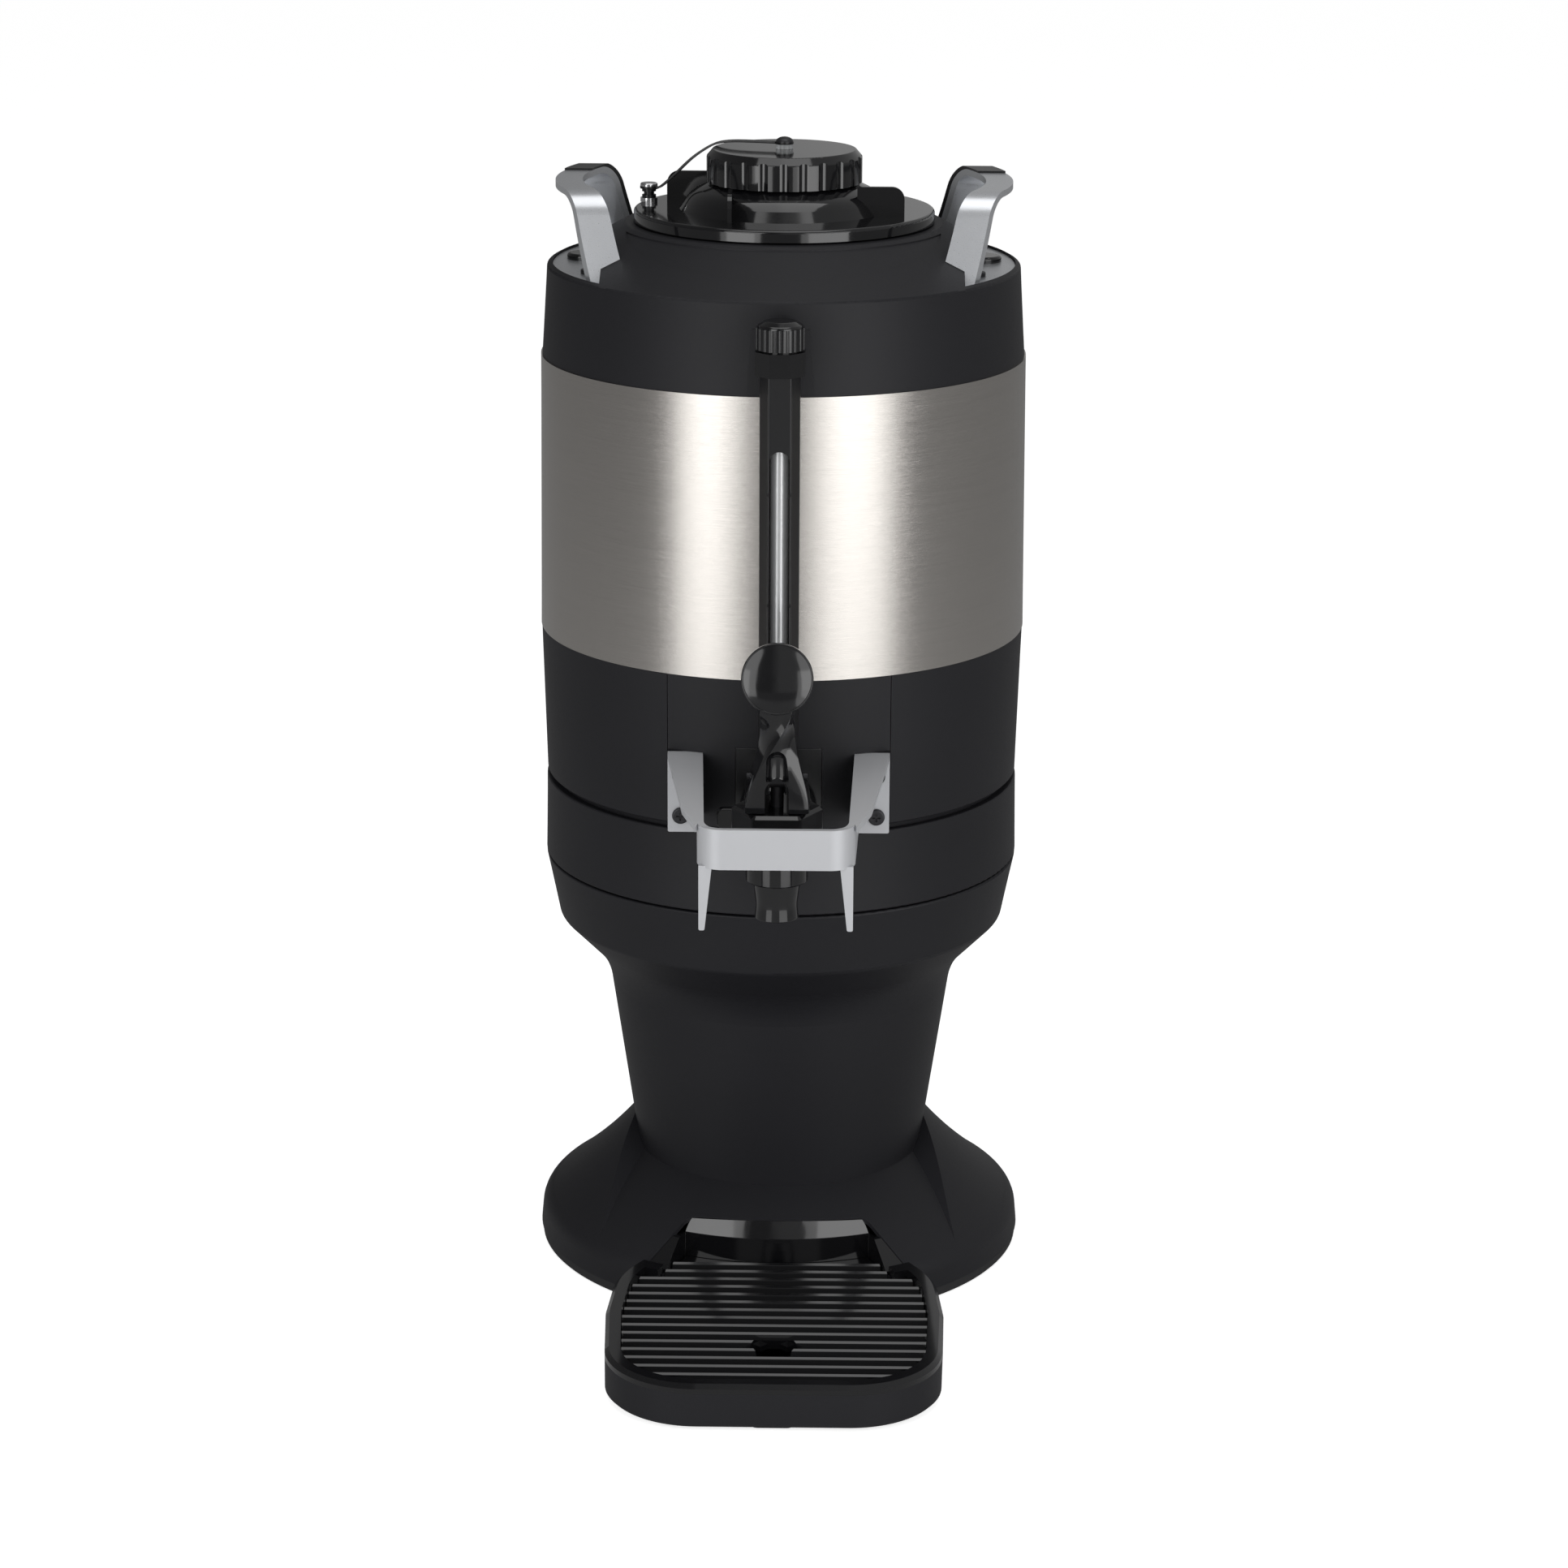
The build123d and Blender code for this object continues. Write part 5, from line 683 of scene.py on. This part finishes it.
class SERVER_OT_lever(bpy.types.Operator):
    """Adds the tap's twisted lever and its rimmed knob"""

    bl_idname = "server.lever"
    bl_label = "Tap lever"

    def execute(self, context):
        lever = self.twisted_bar()
        self.open_foot(lever)
        finish_piece(lever, "lever_group", "gloss_black", angle=38, replaces="tap_handle")
        centre = Vector(KNOB_CENTRE) * MM
        start = centre - Vector((0, 0, KNOB_BACK * MM))
        knob = lathe("tap_knob", KNOB_PROFILE, KNOB_SIDES, start)
        turn(knob, pi / 2 - KNOB_LEAN, "X", centre)
        finish_piece(knob, "lever_group", "gloss_black", angle=50, replaces="tap_handle")
        return {"FINISHED"}

    def twisted_bar(self):
        """A bar that grows out of its square foot and makes a quarter turn on the way up."""
        height, half, front, back, twist = LEVER_LEVELS[0]
        middle = (front + back) / 2
        options = {"size": 1.0, "location": (0, middle * MM, (LEVER_FOOT_Z + height) / 2 * MM)}
        scale = (half * 2 * MM, (back - front) * MM, (height - LEVER_FOOT_Z) * MM)
        lever = begin("cube", "tap_lever", scale=scale, **options)
        edit(lever)
        pick(lever, "faces", lambda face: face.normal.z > UPWARD_SHARE)
        for next_height, next_half, next_front, next_back, next_twist in LEVER_LEVELS[1:]:
            next_middle = (next_front + next_back) / 2
            move = (0, (next_middle - middle) * MM, (next_height - height) * MM)
            bpy.ops.mesh.extrude_region_move(TRANSFORM_OT_translate={"value": move})
            centre = (0, next_middle * MM, next_height * MM)
            depth, wide = back - front, half * 2
            next_depth, next_wide = next_back - next_front, next_half * 2
            share = (next_wide / wide, next_depth / depth, 1)
            bpy.ops.transform.resize(value=share, center_override=centre)
            step = -radians(next_twist - twist)
            bpy.ops.transform.rotate(value=step, orient_axis="Z", center_override=centre)
            height, half, twist = next_height, next_half, next_twist
            front, back, middle = next_front, next_back, next_middle
        bpy.ops.mesh.select_all(action="SELECT")
        bpy.ops.mesh.normals_make_consistent(inside=False)
        bpy.ops.object.mode_set(mode="OBJECT")
        self.crease(lever)
        modify(lever, "SUBSURF", levels=3, render_levels=3)
        return lever

    def crease(self, lever):
        """Keeps the four long edges of the bar crisp, and those of its foot crisper."""
        edit(lever, "EDGE")
        foot = LEVER_FOOT_Z * MM
        rise = LONG_RISE * MM
        pick(lever, "edges", lambda edge: abs(edge.verts[0].co.z - edge.verts[1].co.z) > rise)
        bpy.ops.transform.edge_crease(value=LONG_CREASE)
        pick(lever, "edges", lambda edge: all(abs(end.co.z - foot) < NEAR * MM for end in edge.verts))
        bpy.ops.transform.edge_crease(value=FOOT_CREASE)
        bpy.ops.object.mode_set(mode="OBJECT")

    def open_foot(self, lever):
        """Hollows the foot for the stem, opens an arch in its front and hollows the web above it."""
        self.carve_arch(lever, *STEM_BORE)
        self.carve_arch(lever, *FRONT_ARCH)
        centre = [place * MM for place in HOLLOW_CENTRE]
        half_size = [half * MM for half in HOLLOW_SIZE]
        middle = centre[2]
        band = HOLLOW_BAND * MM
        hollow = begin("uv_sphere", "hollow", segments=32, ring_count=16, radius=1.0,
                       location=centre, scale=half_size)
        edit(hollow, "VERT")
        pick(hollow, "verts", lambda vert: vert.co.z < middle - band)
        bpy.ops.mesh.delete(type="VERT")
        pick(hollow, "verts", lambda vert: vert.co.z < middle + band)
        for drop, share in HOLLOW_LEVELS:
            bpy.ops.mesh.extrude_region_move(TRANSFORM_OT_translate={"value": (0, 0, -drop * MM)})
            bpy.ops.transform.resize(value=(share, share, 1))
        bpy.ops.mesh.edge_face_add()
        bpy.ops.mesh.select_all(action="SELECT")
        bpy.ops.mesh.normals_make_consistent(inside=False)
        bpy.ops.object.mode_set(mode="OBJECT")
        carve(lever, hollow)

    def carve_arch(self, lever, radius, height, front, back):
        """Takes an arched passage out of the foot, from its underside up."""
        middle, depth = (front + back) / 2 * MM, (back - front) * MM
        arch = begin("cylinder", "arch", vertices=48, radius=radius * MM, depth=depth,
                     location=(0, middle, height * MM), rotation=(pi / 2, 0, 0))
        carve(lever, arch)
        low = (LEVER_FOOT_Z - ARCH_OVERRUN) * MM
        slot = begin("cube", "slot", size=1.0, location=(0, middle, (low + height * MM) / 2),
                     scale=(radius * 2 * MM, depth, height * MM - low))
        carve(lever, slot)


# The band, the round of its edges, how much these turn at least, and its narrow tips.
STRAP_WIDTH = 3.2
STRAP_THICKNESS = 1.1
STRAP_EDGE = 0.28
STRAP_CORNER = radians(40)
STRAP_TIP = 0.2
# The eyes, and the pins that cut their holes.
EYE_R = 4.4
EYE_HOLE_R = 1.9
PIN_LENGTH = 12.0
# Steps in half a turn round an eye, how many of them are shaped, and steps along the band.
EYE_STEPS = 16
EYE_STEPS_USED = 12
BAND_STEPS = 30

# How the strap rises from the post to the cap: shares of its length and of its height.
STRAP_RISE = (
    (-0.2, 0.0), (0.0, 0.0), (0.075, 0.0), (0.167, 0.2), (0.317, 0.6), (0.414, 0.8), (0.5, 0.93),
    (0.6, 0.985), (0.75, 1.0), (1.0, 1.0), (1.2, 1.0),
)


class SERVER_OT_strap(bpy.types.Operator):
    """Adds the moulded strap that ties the filling cap to the lid"""

    bl_idname = "server.strap"
    bl_label = "Cap strap"

    def execute(self, context):
        low, high = (Vector(corner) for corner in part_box("strap"))
        post = Vector((low.x + EYE_R * MM, high.y - EYE_R * MM, low.z))
        cap = Vector((0.0, 0.0, high.z - STRAP_THICKNESS * MM))
        piece = self.band(post, cap)
        finish_piece(piece, None, "strap_black", angle=40, replaces="strap")
        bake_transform(piece)
        return {"FINISHED"}

    def band(self, post, cap):
        """One flat band with an eye at each end, along an S-shaped rise."""
        span = Vector((cap.x - post.x, cap.y - post.y, 0))
        ahead = span.normalized()
        length, height = span.length, cap.z - post.z
        places = [(along, self.width(along, length)) for along in self.stations(length)]
        points = [post + ahead * along + Vector((0, 0, self.rise(along / length, height)))
                  for along, _ in places]
        step = points[1] - points[0]
        wide = places[0][1]
        piece = begin("plane", "cap_strap", size=1.0, location=points[0] + step / 2,
                      rotation=(0, 0, atan2(ahead.y, ahead.x)), scale=(step.length, wide, 1))
        edit(piece, "EDGE")
        far = points[1].dot(ahead)
        pick(piece, "edges", lambda edge: all(
            abs(end.co.dot(ahead) - far) < WELD * MM for end in edge.verts))
        share = places[1][1] / wide
        bpy.ops.transform.resize(value=(share, share, 1), center_override=points[1])
        for last, here, (_, old), (_, new) in zip(points[1:], points[2:], places[1:], places[2:]):
            bpy.ops.mesh.extrude_edges_move(TRANSFORM_OT_translate={"value": here - last})
            bpy.ops.transform.resize(value=(new / old, new / old, 1), center_override=here)
        bpy.ops.mesh.select_all(action="SELECT")
        bpy.ops.mesh.normals_make_consistent(inside=False)
        bpy.ops.object.mode_set(mode="OBJECT")
        upward = sum(face.normal.z for face in piece.data.polygons) > 0
        modify(piece, "SOLIDIFY", thickness=STRAP_THICKNESS * MM, offset=1.0 if upward else -1.0)
        for centre in (post, cap):
            pin = begin("cylinder", "pin", vertices=32, radius=EYE_HOLE_R * MM,
                        depth=PIN_LENGTH * MM, location=centre)
            carve(piece, pin)
        modify(piece, "BEVEL", width=STRAP_EDGE * MM, segments=2, limit_method="ANGLE",
               angle_limit=STRAP_CORNER)
        return piece

    def stations(self, length):
        """Distances along the strap, close together round each eye."""
        radius = EYE_R * MM
        eye = [-radius * cos(pi * i / EYE_STEPS) for i in range(1, EYE_STEPS_USED + 1)]
        between = length - radius * 2
        plain = [radius + between * i / BAND_STEPS for i in range(BAND_STEPS + 1)]
        return eye + plain + [length - along for along in reversed(eye)]

    def width(self, along, length):
        """The strap's width: a disc round each end, and the plain band between."""
        radius = EYE_R * MM
        nearest = min(abs(along), abs(along - length))
        disc = 2 * max(0.0, radius**2 - nearest**2) ** 0.5
        between = 0 < along < length
        return max(disc, (STRAP_WIDTH if between else STRAP_TIP) * MM)

    def rise(self, share, height):
        """The strap's height over the post at a share of its length, along a smooth curve."""
        runs = zip(STRAP_RISE, STRAP_RISE[1:], STRAP_RISE[2:], STRAP_RISE[3:])
        for (x0, y0), (x1, y1), (x2, y2), (x3, y3) in runs:
            if x1 <= share <= x2:
                t = (share - x1) / (x2 - x1)
                slope1 = (y2 - y0) / (x2 - x0) * (x2 - x1)
                slope2 = (y3 - y1) / (x3 - x1) * (x2 - x1)
                smooth = y1 * (2 * t**3 - 3 * t**2 + 1) + y2 * (3 * t**2 - 2 * t**3)
                return height * (smooth + slope1 * (t**3 - 2 * t**2 + t) + slope2 * (t**3 - t**2))
        return 0.0 if share < 0.5 else height


class SERVER_OT_spring(bpy.types.Operator):
    """Adds the tap's return spring, a copy of its node that stays fixed on the server"""

    bl_idname = "server.spring"
    bl_label = "Return spring"

    def execute(self, context):
        piece = bpy.data.objects.new("return_spring", NODES["tap_spring"].data.copy())
        context.collection.objects.link(piece)
        finish_piece(piece, "server", "bright_metal", angle=50, replaces="tap_spring")
        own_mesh(piece)
        return {"FINISHED"}


# Each lamp's name, place, size and setting. The two strips stand low beside the tray, where
# the steel band mirrors them.
LAMPS = (
    ("left_lamp", (-1.15, -2.0, 1.0), (1.2, 2.0), "key_power"),
    ("right_lamp", (1.3, -1.9, 0.9), (1.4, 1.8), "fill_power"),
    ("top_lamp", (0, -0.2, 2.0), (1.4, 1.2), "top_power"),
    ("left_strip", (-0.48, -0.72, 0.27), (0.4, 0.54), "left_strip_power"),
    ("right_strip", (0.44, -0.74, 0.27), (0.56, 0.54), "right_strip_power"),
)
LAMP_TARGET = (0, 0, 0.3)
# The floor, and its colour as the eye and as metal and gloss see it.
FLOOR_SIZE = 30.0
FLOOR_WHITE = (0.85, 0.85, 0.85, 1)
FLOOR_MIRRORED = (0.4, 0.4, 0.4, 1)
# The mirrored room is brighter on the right: how fast it rises there, where from, and by
# how many times.
SIDE_SLOPE = 8.0
SIDE_START = 0.8
SIDE_GAIN = 2.0
# The photograph's width and how far its view is shifted, in pixels, and the camera's frame in
# millimetres.
PHOTO_WIDTH = 1932
PHOTO_SHIFT = 3.4
FRAME_WIDTH = 36.0


class SERVER_OT_stage(bpy.types.Operator):
    """Sets the floor, lamps, background and camera"""

    bl_idname = "server.stage"
    bl_label = "Stage"

    def execute(self, context):
        stage = context.scene.server_stage
        add_floor(stage)
        add_background(stage)
        for name, place, size, power in LAMPS:
            add_lamp(name, place, size, getattr(stage, power))
        add_camera(context.scene, stage)
        context.scene.view_settings.view_transform = "Standard"
        return {"FINISHED"}


def add_floor(stage):
    """A wide pale floor that keeps the object's shadow."""
    floor = begin("plane", "floor", size=FLOOR_SIZE, location=(0, 0, 0))
    graph = Graph("floor_white")
    path = graph.add("ShaderNodeLightPath")
    mirrored = (path["Is Glossy Ray"] + path["Is Transmission Ray"]).clamped()
    strength = path["Is Camera Ray"] * stage.floor_glow + mirrored * stage.mirrored_glow
    white = graph.mix(mirrored, FLOOR_WHITE, FLOOR_MIRRORED)
    matte = graph.add("ShaderNodeBsdfDiffuse", {}, {"Color": white})["BSDF"]
    sockets = {"Color": (1, 1, 1, 1), "Strength": strength}
    glow = graph.add("ShaderNodeEmission", {}, sockets)["Emission"]
    both = graph.add("ShaderNodeAddShader", {}, {0: matte, 1: glow})["Shader"]
    graph.add("ShaderNodeOutputMaterial", {}, {"Surface": both})
    floor.data.materials.append(graph.material)


def add_background(stage):
    """A white backdrop, seen full strength, with a dim room before it in reflections."""
    world = bpy.data.worlds.new("studio")
    bpy.context.scene.world = world
    world.use_nodes = True
    graph = Graph.of_tree(world.node_tree)
    path = graph.add("ShaderNodeLightPath")
    direction = graph.add("ShaderNodeTexCoord")["Generated"]
    rightward = graph.add("ShaderNodeSeparateXYZ", {}, {"Vector": direction})["X"]
    mirrored = (path["Is Glossy Ray"] + path["Is Transmission Ray"]).clamped()
    camera = path["Is Camera Ray"]
    side = (rightward * SIDE_SLOPE + SIDE_START).clamped()
    reflected = stage.mirrored_light * (1.0 + side * SIDE_GAIN)
    room = (1 - mirrored) * stage.world_light + mirrored * reflected
    strength = camera + (1 - camera) * room
    sockets = {"Color": (1, 1, 1, 1), "Strength": strength}
    light = graph.add("ShaderNodeBackground", {}, sockets)["Background"]
    graph.add("ShaderNodeOutputWorld", {}, {"Surface": light})


def add_lamp(name, place, size, power):
    """A soft rectangular lamp aimed at the object."""
    clear_selection()
    bpy.ops.object.light_add(type="AREA", location=place)
    lamp = bpy.context.object
    lamp.name = name
    lamp.data.shape = "RECTANGLE"
    lamp.data.size, lamp.data.size_y = size
    lamp.data.energy = power
    lamp.visible_camera = False
    aim = Vector(LAMP_TARGET) - Vector(place)
    lamp.rotation_euler = aim.to_track_quat("-Z", "Y").to_euler()


def add_camera(scene, stage):
    """The photograph's viewpoint."""
    clear_selection()
    place = (stage.camera_side, -stage.camera_distance, stage.camera_height)
    bpy.ops.object.camera_add(location=place)
    camera = bpy.context.object
    camera.name = "camera"
    bearing = atan2(stage.camera_side, stage.camera_distance)
    aim = Matrix.Rotation(bearing, 4, "Z") @ Matrix.Rotation(pi / 2 - stage.camera_pitch, 4, "X")
    aim = aim @ Matrix.Rotation(stage.camera_roll, 4, "Z")
    camera.matrix_world = Matrix.Translation(camera.location) @ aim
    camera.data.lens = stage.camera_lens
    camera.data.sensor_width = FRAME_WIDTH
    camera.data.shift_x = PHOTO_SHIFT / PHOTO_WIDTH
    scene.camera = camera


class SERVER_PT_panel(bpy.types.Panel):
    """Lists the server's pieces in the sidebar"""

    bl_idname = "SERVER_PT_panel"
    bl_label = "Beverage Server"
    bl_space_type = "VIEW_3D"
    bl_region_type = "UI"
    bl_category = "Server"

    def draw(self, context):
        for operator in OPERATORS:
            self.layout.operator(operator.bl_idname)


OPERATORS = (
    SERVER_OT_finishes, SERVER_OT_softened, SERVER_OT_lever, SERVER_OT_spring, SERVER_OT_strap,
    SERVER_OT_stage,
)
CLASSES = tuple(SETTINGS.values()) + OPERATORS + (SERVER_PT_panel,)


def register():
    for one in CLASSES:
        bpy.utils.register_class(one)
    for name, group in SETTINGS.items():
        setattr(bpy.types.Scene, name, bpy.props.PointerProperty(type=group))


def unregister():
    for name in SETTINGS:
        delattr(bpy.types.Scene, name)
    for one in reversed(CLASSES):
        bpy.utils.unregister_class(one)


def main():
    register()
    for operator in OPERATORS:
        group, name = operator.bl_idname.split(".")
        getattr(getattr(bpy.ops, group), name)()


if __name__ == "__main__":
    main()
